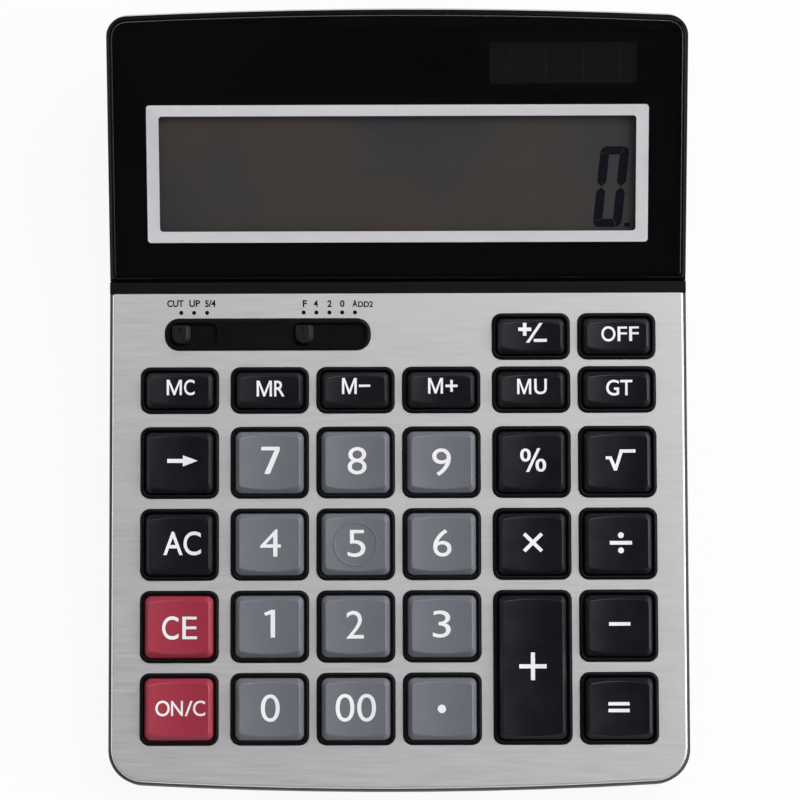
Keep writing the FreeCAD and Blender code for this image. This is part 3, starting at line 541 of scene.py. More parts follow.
def face_plate():
    bm = bmesh.new()
    edge = 0.6
    lip = 0.12
    outer = [bowed_loop(bm, 0, -PLATE_THICKNESS), bowed_loop(bm, 0, -edge)]
    outer += [bowed_loop(bm, inset, -drop) for inset, drop in rounding(edge, 4)[1:]]
    outer.append(bowed_loop(bm, edge + FLAT_RING, 0))
    skin(bm, outer)
    tops = list(outer[-1])
    bottoms = list(outer[0])
    windows = [(w + TO_WINDOW, h + TO_WINDOW, WINDOW_CORNER, x, y) for x, y, w, h in key_place.values()]
    width, height, corner, x, y = SURROUND
    windows.append((width + 2 * WINDOW_GAP, height + 2 * WINDOW_GAP, corner + WINDOW_GAP, x, y))
    for window in windows:
        rings = [inset_loop(bm, window, inset, z, 6) for inset, z in (
            (0, -PLATE_THICKNESS), (0, -lip), (-lip, 0), (-lip - FLAT_RING, 0))]
        skin(bm, rings)
        tops += rings[-1]
        bottoms += rings[0]
    fill(bm, tops)
    fill(bm, bottoms, -1)
    outward(bm)
    level = 0.98
    # Faces off the flat top, the rounded edges and window lips, take the brighter edge metal, a painted
    # highlight
    for face in bm.faces:
        face.material_index = int(face.normal.z < level)
    piece("aluminium_plate", bm, DECK, "case", [plate_metal, edge_highlight_metal],
          ["face_plate"], 60)


# Black collars and switch surround
def collars():
    bm = bmesh.new()
    shoulder = 0.34
    inner_shoulder = 0.22
    to_collar = TO_WINDOW - 2 * WINDOW_GAP
    for x, y, w, h in key_place.values():
        outline = (w + to_collar, h + to_collar, WINDOW_CORNER - WINDOW_GAP, x, y)
        rings = [inset_loop(bm, outline, 0, -PLATE_THICKNESS)]
        rings += [inset_loop(bm, outline, inset, COLLAR_TOP - drop) for inset, drop in rounding(shoulder)]
        rings += [inset_loop(bm, outline, COLLAR_WALL - inset, COLLAR_TOP - drop)
                  for inset, drop in reversed(rounding(inner_shoulder, 2))]
        rings.append(inset_loop(bm, outline, COLLAR_WALL, -PLATE_THICKNESS))
        skin(bm, rings, closed=True)
    outward(bm)
    piece("key_collars", bm, DECK, "case", [collar_plastic])


def switch_surround():
    bm = bmesh.new()
    edge = 0.4
    lip = 0.1
    track_corner = 1.7
    outer = [inset_loop(bm, SURROUND, 0, -PLATE_THICKNESS, 8)]
    outer += [inset_loop(bm, SURROUND, inset, SURROUND_RISE - drop, 8) for inset, drop in rounding(edge)]
    outer.append(inset_loop(bm, SURROUND, edge + FLAT_RING, SURROUND_RISE, 8))
    skin(bm, outer)
    tops = list(outer[-1])
    for left, right in TRACKS:
        track = (right - left, TRACK_HEIGHT, track_corner, (left + right) / 2, SWITCH_Y)
        rings = [inset_loop(bm, track, inset, z, 6) for inset, z in (
            (-lip - FLAT_RING, SURROUND_RISE), (-lip, SURROUND_RISE), (0, SURROUND_RISE - lip),
            (0, TRACK_FLOOR))]
        skin(bm, rings)
        tops += rings[0]
        fill(bm, rings[-1])
    fill(bm, tops)
    fill(bm, outer[0], -1)
    outward(bm)
    piece("switch_surround", bm, DECK, "case", [collar_plastic], sharp=40)


def knob(node, name, body):
    """Slide knob with sloped sides, large front corners, a thumb notch, its stem and its foot."""
    low, high = local_box(node, DECK)
    x = (low.x + high.x) / 2
    y = (low.y + high.y) / 2
    width = high.x - low.x
    height = high.y - low.y
    top = high.z
    under = TRACK_FLOOR + KNOB_LIFT
    front_corner = 2.25
    back_corner = 0.8
    bm = bmesh.new()

    def outline(inset, z, lean):
        before = set(bm.edges)
        rectangle(bm, width + FLARE - 2 * inset - lean, height - 2 * inset,
                  Matrix.Translation((x + (FLARE - lean) / 2, y, z)))
        for near, corner in ((True, front_corner), (False, back_corner)):
            verts = [v for v in fresh(bm, before)[1]
                     if abs(abs(v.co.y - y) - height / 2 + inset) < NEAR and (v.co.y < y) == near]
            bevel(bm, verts, corner - 0.5 * inset, 6, "VERTICES")
        return open_loop(bm, before)

    # Drawn in all round, under the top, and leant in at the right
    profile = [(0, top - under, 0), (0, 1.0, 0), (0.06, 0.9, 0.05), (0.24, 0.14, 0.62), (0.34, 0, 0.72),
               (0.4, 0, 0.72)]
    rings = [outline(inset, top - drop, lean) for inset, drop, lean in profile]
    skin(bm, rings)
    notch_depth = 0.3
    notch_middle = (x - 0.2, y + 1.1)
    notch = [loop(bm, 0.7, 1.5, 0.33, *notch_middle, top, 3),
             loop(bm, 0.4, 1.1, 0.15, *notch_middle, top - notch_depth, 3)]
    skin(bm, notch)
    fill(bm, rings[-1] + notch[0])
    fill(bm, notch[1])
    fill(bm, rings[0], -1)
    outward(bm)
    foot_top = low.z + 0.8
    for wide, deep, z0, z1 in ((2.4, 2.0, foot_top, under), (width, height, low.z, foot_top)):
        block(bm, (wide, deep, z1 - z0), (x, y, (z0 + z1) / 2))
    piece(name, bm, DECK, body, [knob_plastic], [node], 40)


# Keycaps
def bend_radius(width):
    half = width / 2 - SIDE_LEAN
    return (half ** 2 + DISH ** 2) / (2 * DISH)


def face_height(x, width):
    """Height of the dished face at x from the key's middle."""
    bend = bend_radius(width)
    return FACE_EDGE - DISH + bend - sqrt(bend ** 2 - min(abs(x), width / 2) ** 2)


def post_places(width, height):
    """Where a key's posts are along its length: one in the middle, or two in the tall key."""
    return (-POST_SPREAD, POST_SPREAD) if height > 2 * width - 3 else (0,)


def keycap(node, material):
    x, y, width, height = key_place[node]
    bm = bmesh.new()
    outline = (width, height, KEY_CORNER, 0, 0)
    hollow_corner = 0.6
    hollow = (width - 2 * SIDE_LEAN - 2 * KEY_SKIN, height - 2 * END_LEAN - 2 * KEY_SKIN, hollow_corner, 0, 0)
    ceiling = FACE_EDGE - DISH - KEY_SKIN
    foot = COLLAR_TOP + KEY_RISE * WALL_FOOT
    rings = [inset_loop(bm, shape, inset, z) for shape, inset, z in (
        (hollow, 0, ceiling), (hollow, 0, FLANGE_UNDER), (outline, -FLANGE_REACH, FLANGE_UNDER),
        (outline, -FLANGE_REACH, FLANGE_TOP), (outline, 0, FLANGE_TOP), (outline, 0, COLLAR_TOP))]
    rings.append(loop(bm, width - 2 * SIDE_LEAN * WALL_FOOT, height - 2 * END_LEAN * WALL_FOOT,
                      KEY_CORNER + (FACE_CORNER - KEY_CORNER) * WALL_FOOT, 0, 0, foot))
    rings.append(loop(bm, width - 2 * SIDE_LEAN, height - 2 * END_LEAN, FACE_CORNER, 0, 0, FACE_EDGE))
    capped_skin(bm, rings)
    reach = width / 2 - SIDE_LEAN - FACE_CORNER
    cuts = 12
    for i in range(cuts + 1):
        upper = [f for f in bm.faces if f.calc_center_median().z > foot]
        geom = list({g for f in upper for g in [f, *f.edges, *f.verts]})
        cut(bm, (-reach + 2 * reach * i / cuts, 0, 0), (1, 0, 0), geom, NEAR)
    outward(bm)
    face_verts = {v for v in bm.verts if v.co.z > FACE_EDGE - NEAR}
    for v in face_verts:
        v.co.z = face_height(v.co.x, width)
        v.co.y += (1 if v.co.y > 0 else -1) * END_LEAN * (FACE_EDGE - v.co.z) / KEY_RISE
    bm.normal_update()
    steep = 0.8
    rim = [e for e in bm.edges if all(v in face_verts for v in e.verts)
           and min(f.normal.z for f in e.link_faces) < steep]
    bevel(bm, rim, KEY_RIM, 3)
    outward(bm)
    for along in post_places(width, height):
        block(bm, (POST_WIDTH, POST_WIDTH, ceiling - FLANGE_UNDER), (0, along, (ceiling + FLANGE_UNDER) / 2))
    shift(bm, x, y)
    piece(node.replace("key_", "cap_"), bm, DECK, node, [material], [node], 50)


# Printed legends
def polygon(bm, points):
    bm.faces.new([bm.verts.new((px, py, 0)) for px, py in points])


def bar(bm, x, y, width, height, turn=0):
    rectangle(bm, width, height, Matrix.Translation((x, y, 0)) @ Matrix.Rotation(radians(turn), 4, "Z"))


def dot(bm, x, y, radius):
    place = Matrix.Translation((x, y, 0))
    bmesh.ops.create_circle(bm, cap_ends=True, segments=24, radius=radius, matrix=place)


def lettering(text, weight):
    """Words as flat faces, about one unit high."""
    curve = bpy.data.curves.new("words", "FONT")
    curve.body = text
    curve.offset = weight
    curve.resolution_u = 6
    curve.fill_mode = "FRONT"
    words = in_scene("words", curve)
    mesh = bpy.data.meshes.new_from_object(words.evaluated_get(bpy.context.evaluated_depsgraph_get()))
    bm = bmesh.new()
    bm.from_mesh(mesh)
    bpy.data.objects.remove(words)
    bpy.data.curves.remove(curve)
    bpy.data.meshes.remove(mesh)
    bmesh.ops.remove_doubles(bm, verts=bm.verts, dist=TINY)
    return bm


def fitted(bm, x, y, width, height):
    """Stretches a flat shape over a width and height round a middle."""
    xs = [v.co.x for v in bm.verts]
    ys = [v.co.y for v in bm.verts]
    shift(bm, -(min(xs) + max(xs)) / 2, -(min(ys) + max(ys)) / 2)
    bmesh.ops.scale(bm, vec=(width / (max(xs) - min(xs)), height / (max(ys) - min(ys)), 1), verts=bm.verts)
    shift(bm, x, y)


def printed(bm, level):
    """Gives a flat print a thin body over the surface whose height is level(x)."""
    for face in bm.faces:
        if face.normal.z < 0:
            face.normal_flip()
    made = bmesh.ops.extrude_face_region(bm, geom=bm.faces[:])
    top = {v for v in made["geom"] if isinstance(v, bmesh.types.BMVert)}
    for v in bm.verts:
        v.co.z = level(v.co.x) + (INK_OVER if v in top else -INK_SUNK)
    bmesh.ops.recalc_face_normals(bm, faces=bm.faces)


def flat(points):
    """A flat shape with a few corners."""
    bm = bmesh.new()
    polygon(bm, points)
    return bm


def one():
    """The digit 1 with its flag."""
    return flat([(1.24, 0), (2.1, 0), (2.1, 7.6), (1.34, 7.6), (0, 6.75), (0.27, 5.95), (1.24, 6.45)])


def seven():
    """The digit 7 with a straight foot."""
    return flat([(0.1, 7.57), (0, 7.45), (0, 6.67), (0.1, 6.57), (3.63, 6.57), (0.85, 0.15), (0.95, 0),
                 (2.25, 0), (2.4, 0.12), (5.05, 6.6), (5.05, 7.45), (4.95, 7.57)])


def arrow():
    return flat([(0, 1.03), (4.3, 1.03), (4.3, 0), (8.4, 1.6), (4.3, 3.2), (4.3, 2.17), (0, 2.17)])


def root():
    return flat([(0, 3.1), (0, 3.95), (1.6, 3.95), (2.65, 1.6), (3.9, 5.88), (8.18, 5.88), (8.18, 4.95),
                 (4.65, 4.95), (3.05, 0), (2.2, 0), (1.0, 3.1)])


def slash(width, height, stroke):
    return flat([(0, 0), (stroke, 0), (width, height), (width - stroke, height)])


def plus(arms, stroke):
    a = arms / 2
    b = stroke / 2
    return flat([(-a, -b), (-b, -b), (-b, -a), (b, -a), (b, -b), (a, -b), (a, b), (b, b), (b, a), (-b, a),
                 (-b, b), (-a, b)])


def letter_m(width, height, stroke):
    right = [(width / 2, 0.25 * height), (width - 1.2 * stroke, height), (width, height), (width, 0),
             (width - stroke, 0), (width - stroke, 0.76 * height), (width / 2 + 0.38 * stroke, 0)]
    left = [(width - x, y) for x, y in reversed(right[1:])]
    return flat(right + left)


def word(*parts):
    """Joins letters, each fitted between a left and a right, a low and a high."""
    bm = bmesh.new()
    for letter, x0, x1, y0, y1 in parts:
        fitted(letter, (x0 + x1) / 2, (y0 + y1) / 2, x1 - x0, y1 - y0)
        take_in(bm, letter)
    return bm


def sign():
    """Plus over a slash over minus."""
    bm = plus(3.6, 1.0)
    shift(bm, 1.8, 3.75)
    polygon(bm, [(2.1, 0), (3.05, 0), (6.75, 5.5), (5.8, 5.5)])
    bar(bm, 6.1, 0.62, 3.6, 0.85)
    return bm


def times():
    bm = plus(7.0, 1.05)
    bmesh.ops.rotate(bm, cent=(0, 0, 0), matrix=Matrix.Rotation(radians(45), 3, "Z"), verts=bm.verts)
    return bm


def bars(*each):
    """Level bars, each with its middle, width and height."""
    bm = bmesh.new()
    for place_and_size in each:
        bar(bm, *place_and_size)
    return bm


def divide():
    bm = bars((0, 0, 6.1, 1.05))
    for side in (1, -1):
        dot(bm, 0, 2.1 * side, 0.82)
    return bm


def point():
    bm = bmesh.new()
    dot(bm, 0, 0, 1.2)
    return bm


INK_TRIM = 0.2
INK_OVER = 0.02
INK_SUNK = 0.03
M_STROKE = 0.64
# How far letters swell, from the thinnest to the rings of the percent sign
THIN = -0.002
FIRM = 0.008
BOLD = 0.012
RING = 0.028
# For every key: its legend, and the legend's width, height and place from the key's middle
LEGENDS = {
    "key_off": (word((lettering("O", BOLD), 0, 3.9, 0, 4.33), (lettering("F", FIRM), 4.45, 7.05, 0.1, 4.23),
                     (lettering("F", FIRM), 7.63, 10.24, 0.1, 4.23)), 10.24, 4.33, 0.91, 0.49),
    "key_sign": (sign(), 7.90, 5.54, 0.44, 0.85),
    "key_mc": (word((letter_m(4.17, 4.3, M_STROKE), 0, 4.17, 0.05, 4.37),
                    (lettering("C", BOLD), 4.75, 7.72, 0, 4.42)), 7.72, 4.42, 0.36, 0.73),
    "key_mr": (word((letter_m(4.2, 4.4, M_STROKE), 0, 4.2, 0, 4.47),
                    (lettering("R", BOLD), 4.8, 7.7, 0, 4.47)), 7.71, 4.47, 0.31, 0.36),
    "key_m_minus": (word((letter_m(4.07, 4.5, M_STROKE), 0, 4.07, 0, 4.53),
                         (bars((0, 0, 3.1, 0.66)), 4.65, 7.81, 1.98, 2.64)), 7.81, 4.53, 0.22, 0.99),
    "key_m_plus": (word((letter_m(4.1, 4.4, M_STROKE), 0, 4.1, 0, 4.42),
                        (plus(3.3, 0.72), 4.78, 8.12, 0.5, 3.84)), 8.12, 4.42, 0.46, 0.98),
    "key_mu": (word((letter_m(3.9, 4.3, M_STROKE), 0, 3.9, 0.05, 4.39),
                    (lettering("U", BOLD), 4.7, 8.19, 0, 4.39)), 8.19, 4.39, 0.20, 0.70),
    "key_gt": (lettering("GT", BOLD), 7.24, 4.47, 0.58, 0.35),
    "key_back": (arrow(), 8.40, 3.22, 0.87, 0.46),
    "key_7": (seven(), 5.15, 7.50, 0.27, 0.54),
    "key_8": (lettering("8", THIN), 5.29, 7.57, 0.44, 0.38),
    "key_9": (lettering("9", THIN), 5.22, 7.59, 0.04, -0.05),
    "key_percent": (word((lettering("0", RING), 0, 2.95, 2.85, 6.5),
                         (slash(4.0, 6.5, 0.88), 1.6, 5.6, 0, 6.55),
                         (lettering("0", RING), 4.22, 7.17, 0.02, 3.67)), 7.17, 6.55, 0.39, 0.40),
    "key_root": (root(), 8.18, 5.88, 0.80, 0.37),
    "key_ac": (lettering("AC", FIRM), 10.29, 6.59, 0.85, 0.31),
    "key_4": (lettering("4", THIN), 5.73, 7.51, 0.25, 0.38),
    "key_5": (lettering("5", THIN), 4.99, 7.45, 0.25, 0.18),
    "key_6": (lettering("6", THIN), 5.13, 7.51, 0.16, 0.25),
    "key_times": (times(), 5.64, 5.53, 0.21, 0.31),
    "key_divide": (divide(), 6.13, 5.83, 0.69, 0.14),
    "key_ce": (word((lettering("C", FIRM), 0, 4.45, 0, 6.45), (lettering("E", THIN), 5.5, 9.52, 0.12, 6.33)),
               9.52, 6.45, 0.21, -0.27),
    "key_1": (one(), 3.13, 7.58, 0.03, 0.79),
    "key_2": (lettering("2", THIN), 4.90, 7.58, -0.18, 0.46),
    "key_3": (lettering("3", THIN), 4.96, 7.45, -0.09, 0.56),
    "key_minus": (bars((0, 0, 5.89, 1.14)), 5.89, 1.14, 0.19, 0.46),
    "key_on": (word((lettering("O", FIRM), 0, 3.85, 0, 4.37), (lettering("N", FIRM), 4.2, 7.4, 0.1, 4.27),
                    (slash(2.2, 4.2, 0.62), 7.9, 10.05, 0.05, 4.3),
                    (lettering("C", FIRM), 10.15, 13.49, 0, 4.37)), 13.49, 4.37, 0.48, 0.31),
    "key_0": (lettering("0", THIN), 5.25, 7.50, 0.22, 0.31),
    "key_00": (lettering("00", THIN), 10.97, 7.60, -0.03, 0.36),
    "key_point": (point(), 2.44, 2.45, -0.14, -0.02),
    "key_plus": (plus(7.5, 1.14), 7.50, 7.55, 0.01, 0.24),
    "key_equals": (bars((0, 0, 5.9, 1.0), (0, 1.95, 5.9, 1.0)), 5.87, 2.91, -0.18, 0.31),
}


def legend(node):
    """A key's legend, cut into strips so that it follows the dish."""
    x, y, width, height = key_place[node]
    bm, wide, high, across, along = LEGENDS[node]
    fitted(bm, across, along, wide - INK_TRIM, high - INK_TRIM)
    strip = 0.6
    for i in range(int(wide / strip)):
        cut(bm, (across - wide / 2 + strip * (i + 0.5), 0, 0), (1, 0, 0), near=TINY)
    printed(bm, lambda px: face_height(px, width))
    shift(bm, x, y)
    piece(node.replace("key_", "legend_"), bm, DECK, node, [legend_print], weighted=False)


def home_ring():
    """Raised ring on the middle digit key."""
    x, y, width, height = key_place["key_5"]
    bm = bmesh.new()
    radius = 5.75
    half = 0.3
    rise = 0.18
    bmesh.ops.create_circle(bm, segments=8, radius=half,
                            matrix=Matrix.Translation((radius, 0, 0)) @ Matrix.Rotation(pi / 2, 4, "X"))
    bmesh.ops.spin(bm, geom=bm.verts[:] + bm.edges[:], cent=(0, 0, 0), axis=(0, 0, 1), angle=2 * pi, steps=64,
                   use_merge=True, dvec=(0, 0, 0))
    outward(bm)
    for v in bm.verts:
        v.co.z = v.co.z * rise / half + face_height(v.co.x, width)
    shift(bm, x, y)
    piece("home_ring", bm, DECK, "key_5", [grey_plastic])


# Plate labels
def plate_labels():
    """Words and dots at the switch stops."""
    length_measured = 132.31
    rise = PLATE_LENGTH - length_measured
    weight = 0.028
    weight_of_4 = 0.012
    dot_y = 127.75
    labels = [("CUT", -62.24, -57.81, 128.78, 130.66), ("UP", -56.28, -53.39, 128.77, 130.65),
              ("5/4", -52.05, -49.16, 128.75, 130.63), ("F", -25.67, -24.54, 128.68, 130.55),
              ("4", -22.73, -21.57, 128.67, 130.55), ("2", -19.01, -17.88, 128.66, 130.53),
              ("0", -15.64, -14.43, 128.65, 130.52), ("A", -12.27, -10.95, 128.7, 130.58),
              ("DD2", -10.75, -6.74, 128.63, 130.2)]
    bm = word(*[(lettering(text, weight_of_4 if text == "4" else weight), x0, x1, y0 + rise, y1 + rise)
                for text, x0, x1, y0, y1 in labels])
    for x in (-58.43, -54.98, -51.47, -25.43, -22.0, -18.5, -15.05, -11.6):
        dot(bm, x, dot_y, 0.56)
    printed(bm, lambda x: 0.0)
    piece("switch_labels", bm, DECK, "case", [label_print], weighted=False)


# Display digit
def display_digit():
    """A zero made of six segments, and the point after it, slanted as on such displays."""
    bm = bmesh.new()
    left = 52.56
    foot = 14.4
    width = 7.75
    height = 21.8
    side = 2.45
    end = 2.2
    gap = 0.1
    slant = 0.098
    middle = height / 2
    point_end = middle + 1.25
    shoulder = height - 1.5
    short_upright = [(side / 2, middle + gap), (side, point_end), (side, height - end - gap),
                     (0, shoulder - gap), (0, point_end)]
    tall_upright = [(side / 2, middle + gap), (side, point_end), (side, shoulder),
                    (side - 0.3, height - 0.7), (side - 1.0, height - 0.1), (1.2 + gap, height),
                    (gap, height - end), (0, height - end), (0, point_end)]
    cross = [(side, height - end), (0, shoulder), (0.3, height - 0.7), (1.0, height - 0.1), (1.6, height),
             (width - side + 1.1, height), (width - side - gap / 2, height - end)]
    right_upright = [(px + width - side, py) for px, py in tall_upright]
    for shape in (short_upright, cross, right_upright):
        for lower in (False, True):
            polygon(bm, [(left + px + slant * y, foot + y)
                         for px, y in ((px, height - py if lower else py) for px, py in shape)])
    # Middle, width, height and turn
    decimal_point = (61.9, 15.0, 1.5, 1.1, 5)
    bar(bm, *decimal_point)
    panel_level = -3.2
    printed(bm, lambda x: panel_level)
    piece("display_zero", bm, HEAD, "case", [segment_dark], weighted=False)


# Case shells with round edges
def shell_copy(node, place):
    """A CAD node's mesh as one closed skin in millimetres on a plane."""
    bm = bmesh.new()
    bm.from_mesh(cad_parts[node].data)
    meeting = 0.002 * MM
    level_within = radians(0.4)
    bmesh.ops.remove_doubles(bm, verts=bm.verts, dist=meeting)
    bmesh.ops.transform(bm, matrix=place.inverted(), verts=bm.verts)
    bmesh.ops.dissolve_limit(bm, angle_limit=level_within, verts=bm.verts, edges=bm.edges)
    bm.normal_update()
    return bm


def round_edges(bm, wanted, radius, segments=3, material=-1):
    """Rounds the outside edges that a test picks by the edge's middle and the two faces' normals."""
    sharp = radians(20)
    picked = []
    for edge in bm.edges:
        if len(edge.link_faces) != 2 or not edge.is_convex:
            continue
        first, second = (f.normal for f in edge.link_faces)
        middle = (edge.verts[0].co + edge.verts[1].co) / 2
        if first.angle(second, 0) > sharp and wanted(middle, first, second):
            picked.append(edge)
    bevel(bm, picked, radius, segments, clamp=True, material=material)


def close_openings(bm):
    fill(bm, [e for e in bm.edges if e.is_boundary])
    bmesh.ops.recalc_face_normals(bm, faces=bm.faces)


def upper_shell():
    """The upper case, cut off under the collars and the surround, which are pieces of their own."""
    bm = shell_copy("top_case", DECK)
    seat = -PLATE_THICKNESS + 0.01
    band = BAND_START - 0.1
    level = 0.9
    upright = 0.3
    cut(bm, (0, band, 0), (0, 1, 0))
    cut(bm, (0, 0, seat), (0, 0, 1))
    above = [f for f in bm.faces if f.calc_center_median().z > seat]
    raised = [f for f in above if f.calc_center_median().y < band]
    bmesh.ops.delete(bm, geom=raised, context="FACES")
    close_openings(bm)
    bm.normal_update()

    def rim(middle, first, second):
        """Top edges of the band's ends, and of the ledge round the plate."""
        if max(first.z, second.z) < level or min(abs(first.z), abs(second.z)) > upright:
            return False
        if middle.y > BAND_START - 0.5:
            return middle.z > -0.1 and abs(middle.x) > OUTSIDE
        return (abs(middle.x) > OUTSIDE or middle.y < 4) and middle.z < -0.5

    # The rounded rim edges take the grey plastic, a painted highlight on the black case
    round_edges(bm, rim, 0.3, material=1)
    bm.normal_update()
    # The ledge round the plate, at the seat, also takes the grey plastic as a painted highlight
    for face in bm.faces:
        middle = face.calc_center_median()
        if face.normal.z > level and abs(middle.z - seat) < 0.05 and middle.y < band:
            face.material_index = 1
    piece("upper_shell", bm, DECK, "case", [case_plastic, rim_highlight_plastic], ["top_case"])


def head_cover():
    """The gloss cover, its front corners filled so that the head runs on from the band."""
    bm = shell_copy("display_cover", HEAD)
    rim_depth = -1.2
    round_edges(bm, lambda middle, first, second: middle.z > rim_depth and max(first.z, second.z) > 0.3
                and (abs(middle.x) > OUTSIDE or middle.y > HEAD_LENGTH - 3), 0.25)
    low, high = local_box("display_cover", HEAD)
    size = (1.3, 1.3, 5.0)
    middle_height = -3.45
    inset = 0.03
    for side in (-1, 1):
        block(bm, size, (side * (high.x - inset - size[0] / 2), low.y + inset + size[1] / 2, middle_height))
    piece("head_cover", bm, HEAD, "case", [cover_gloss], ["display_cover"])


def head_lens():
    bm = shell_copy("display_lens", HEAD)
    # The rounded top edges take the grey edge material, a painted highlight line round the lens
    round_edges(bm, lambda middle, first, second: max(first.z, second.z) > 0.9 and middle.z > -0.5
                and min(first.y, second.y) > -0.5, 0.22, 2, 1)
    piece("head_lens", bm, HEAD, "case", [lens_clear, lens_edge_highlight], ["display_lens"])


def lower_shell():
    """The lower case, with the slots closed that the battery room leaves beside the door."""
    bm = shell_copy("bottom_case", CASE)
    round_edges(bm, lambda middle, first, second: middle.z < 3.5 and min(first.z, second.z) < -0.5
                and max(abs(first.x) + abs(first.y), abs(second.x) + abs(second.y)) > 0.5, 0.3, 2)
    low, high = local_box("battery_door", CASE)
    size = (1.45, 15.0, 1.8)
    under_flange = 1.2
    slot_middle = 12.5
    for side in (-1, 1):
        block(bm, size, (side * (high.x - under_flange + size[0] / 2), low.y + slot_middle,
                         low.z + size[2] / 2))
    piece("lower_shell", bm, CASE, "case", [case_plastic], ["bottom_case"])


def door():
    bm = shell_copy("battery_door", CASE)
    round_edges(bm, lambda middle, first, second: middle.z < 1.9 and min(first.z, second.z) < -0.9, 0.2, 2)
    piece("door_panel", bm, CASE, "battery_door", [door_plastic], ["battery_door"])


def feet():
    bm = shell_copy("rubber_feet", CASE)
    round_edges(bm, lambda middle, first, second: middle.z < 0.2, 0.4, 3)
    piece("foot_pads", bm, CASE, "case", [rubber_black], ["rubber_feet"])


# Key mat and screws
def key_sheet():
    """The key mat without its domes, which are pieces of their own."""
    bm = shell_copy("key_mat", DECK)
    cut(bm, (0, 0, DOME_BASE), (0, 0, 1), clear=True)
    close_openings(bm)
    piece("key_sheet", bm, DECK, "case", [silicone_skin], ["key_mat"])


def rubber_dome(node):
    """Hollow dome under a key, with a mesh of its own."""
    x, y, width, height = key_place[node]
    bm = bmesh.new()
    # Width, corner and height of each outline, from the inside over the foot to the top
    profile = [(DOME_TOP - 1.4, 0.6, DOME_PEAK - 1.4), (DOME_WIDTH - 1.9, 0.8, DOME_BASE),
               (DOME_WIDTH, 1.4, DOME_BASE), (DOME_TOP, 0.9, DOME_PEAK - 0.15),
               (DOME_TOP - 0.3, 0.75, DOME_PEAK)]
    for along in post_places(width, height):
        capped_skin(bm, [loop(bm, wide, wide, corner, x, y + along, z) for wide, corner, z in profile])
    outward(bm)
    made = piece(node.replace("key_", "dome_"), bm, DECK, "case", [silicone_skin])
    node + "_press"
    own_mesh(made)


def screws():
    """Case screws: round head with a cross recess, shank and point."""
    bm = bmesh.new()
    low, high = local_box("case_screws", CASE)
    points = [v.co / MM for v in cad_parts["case_screws"].data.vertices]
    seat = low.z
    head = 2.5
    shank = 1.4
    for x in (low.x + head, high.x - head):
        for y in (low.y + head, high.y - head):
            tip = max(p.z for p in points if (p - Vector((x, y, p.z))).length < head + 0.1)
            steps = [(head - 0.6, 0), (head - 0.55, 0), (head - 0.2, 0.12), (head, 0.4), (head, 1.1),
                     (shank, 1.1), (shank, tip - seat - 1.2), (0.4, tip - seat)]
            rings = [round_loop(bm, radius, x, y, seat + rise) for radius, rise in steps]
            skin(bm, rings)
            recess = [cross_loop(bm, 2.9, 0.75, x, y, seat), cross_loop(bm, 2.1, 0.45, x, y, seat + 0.8)]
            skin(bm, recess)
            fill(bm, rings[0] + recess[0], -1)
            fill(bm, recess[1], -1)
            fill(bm, rings[-1])
    outward(bm)
    piece("cross_screws", bm, CASE, "case", [plated_steel], ["case_screws"], 30)


def round_loop(bm, radius, x, y, z):
    made = bmesh.ops.create_circle(bm, segments=32, radius=radius, matrix=Matrix.Translation((x, y, z)))
    return list({e for v in made["verts"] for e in v.link_edges})


def cross_loop(bm, arms, stroke, x, y, z):
    shape = plus(arms, stroke)
    shift(shape, x, y, z)
    before = set(bm.edges)
    take_in(bm, shape)
    return open_loop(bm, before)


# Room and camera
def white_floor():
    """A floor that the camera sees as plain white with a faint shadow."""
    half_size = 3
    glow_share = 0.93
    bm = bmesh.new()
    bmesh.ops.create_grid(bm, x_segments=1, y_segments=1, size=half_size)
    mesh = mesh_of(bm, "floor")
    floor = in_scene("floor", mesh)
    floor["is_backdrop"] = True
    paint = Paint("floor_white")
    paint.surface(Base_Color=(0.9, 0.9, 0.9, 1), Roughness=0.9)
    rays = paint.node("ShaderNodeLightPath")
    seen = (Value(paint, rays.outputs["Is Camera Ray"]) + Value(paint, rays.outputs["Is Glossy Ray"])
            + Value(paint, rays.outputs["Is Transmission Ray"]))
    glow = paint.node("ShaderNodeEmission", Color=(1, 1, 1, 1), Strength=1.0)
    mix = paint.node("ShaderNodeMixShader", **{"0": seen * glow_share})
    paint.tree.links.new(paint.shader.outputs[0], mix.inputs[1])
    paint.tree.links.new(glow.outputs[0], mix.inputs[2])
    paint.tree.links.new(mix.outputs[0], paint.output.inputs["Surface"])
    mesh.materials.append(paint.material)


def sky():
    """White for the camera, and a grey that darkens with height for all other light."""
    world = bpy.data.worlds.new("studio")
    bpy.context.scene.world = world
    world.use_nodes = True
    tree = world.node_tree
    background = tree.nodes["Background"]
    background.inputs["Color"].default_value = (1, 1, 1, 1)
    direction, split, fade, rays, level = (tree.nodes.new(kind) for kind in (
        "ShaderNodeTexCoord", "ShaderNodeSeparateXYZ", "ShaderNodeMapRange", "ShaderNodeLightPath",
        "ShaderNodeMath"))
    for name, value in {"From Min": 0.15, "From Max": 0.6, "To Min": 0.72, "To Max": 0.14}.items():
        fade.inputs[name].default_value = value
    level.operation = "MAXIMUM"
    for output, entry in (
            (direction.outputs["Generated"], split.inputs[0]), (split.outputs["Z"], fade.inputs["Value"]),
            (fade.outputs[0], level.inputs[0]), (rays.outputs["Is Camera Ray"], level.inputs[1]),
            (level.outputs[0], background.inputs["Strength"])):
        tree.links.new(output, entry)


def aimed(name, data, place, look):
    """Puts a lamp or the camera at a place, and turns it along a direction."""
    holder = in_scene(name, data)
    holder.location = place
    holder.rotation_mode = "QUATERNION"
    holder.rotation_quaternion = look.to_track_quat("-Z", "Y")
    return holder


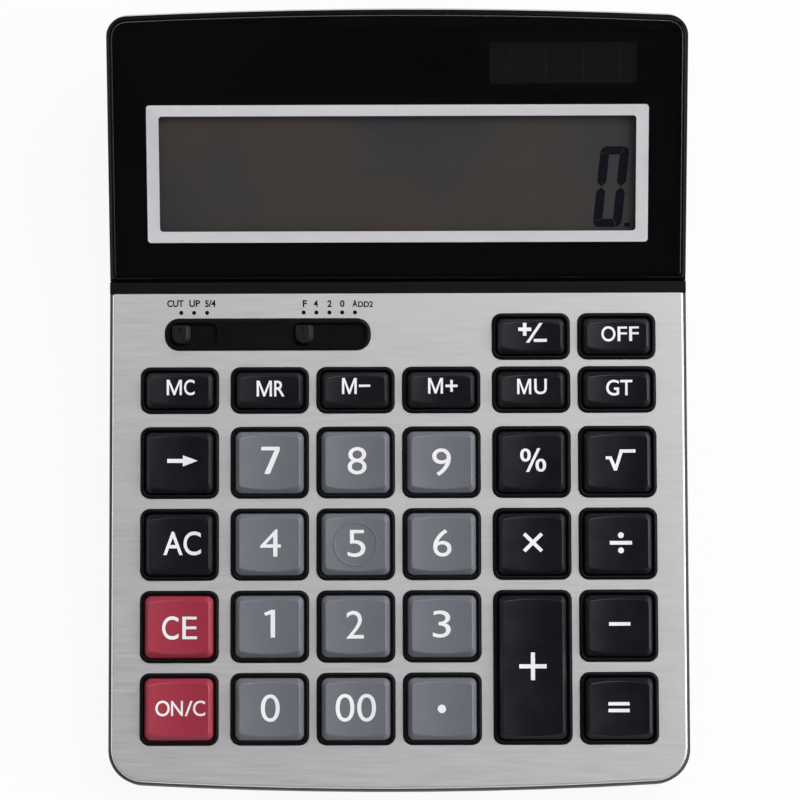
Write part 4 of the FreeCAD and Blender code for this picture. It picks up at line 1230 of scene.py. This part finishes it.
def softbox(name, place, size, radiance):
    """Square lamp that faces the calculator."""
    lamp = bpy.data.lights.new(name, "AREA")
    lamp.shape = "SQUARE"
    lamp.size = size
    lamp.energy = pi * size ** 2 * radiance
    aimed(name, lamp, place, -Vector(place))


def photo_camera():
    """The camera of the photograph, nearly straight above, turned a little."""
    elevation = radians(81.6)
    roll = radians(0.17)
    camera = bpy.data.cameras.new("camera")
    camera.lens = 157.5
    camera.sensor_width = 36
    camera.clip_start = 0.01
    camera.clip_end = 20
    look = Vector((0, cos(elevation), -sin(elevation)))
    holder = aimed("camera", camera, (0.000466, -0.13702, 0.95049), look)
    turn = Matrix.Rotation(roll, 4, look)
    holder.rotation_quaternion = turn.to_quaternion() @ look.to_track_quat("-Z", "Y")
    bpy.context.scene.camera = holder
    bpy.context.scene.view_settings.view_transform = "Standard"


# The whole scene
white_floor()
sky()
softbox("back", (1.05, 1.4, 2.2), 1.8, 4.3)
softbox("right_side", (1.4, 0.0, 0.9), 0.8, 6.8)
softbox("left_side", (-1.4, 0.2, 0.8), 0.8, 1.5)
photo_camera()
face_plate()
collars()
switch_surround()
knob("rounding_knob", "rounding_slider", "rounding_switch")
knob("decimal_knob", "decimal_slider", "decimal_switch")
for node in key_nodes:
    if node == "key_point" or node.removeprefix("key_").isdigit():
        keycap(node, grey_plastic)
    elif node in ("key_ce", "key_on"):
        keycap(node, red_plastic)
    else:
        keycap(node, black_plastic)
    legend(node)
home_ring()
plate_labels()
display_digit()
upper_shell()
head_cover()
head_lens()
lower_shell()
door()
feet()
screws()
key_sheet()
for node in key_nodes:
    rubber_dome(node)
for node, material in {
        "lens_mask": mask_print, "window_border": silver_print, "lcd_panel": panel_glass,
        "solar_cell": solar_glass, "lcd_holder": holder_plastic, "holder_screws": plated_steel,
        "lcd_ribbon": film_amber, "main_board": board_green,
        "board_screws": plated_steel, "chip_cap": resin_black, "capacitors": capacitor_sleeve,
        "solar_leads": lead_sleeve, "battery_leads": lead_sleeve, "battery_cell": cell_wrap,
        "battery_contacts": spring_steel, "rounding_wiper": spring_steel,
        "decimal_wiper": spring_steel}.items():
    dress(node, material)

low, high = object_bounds()
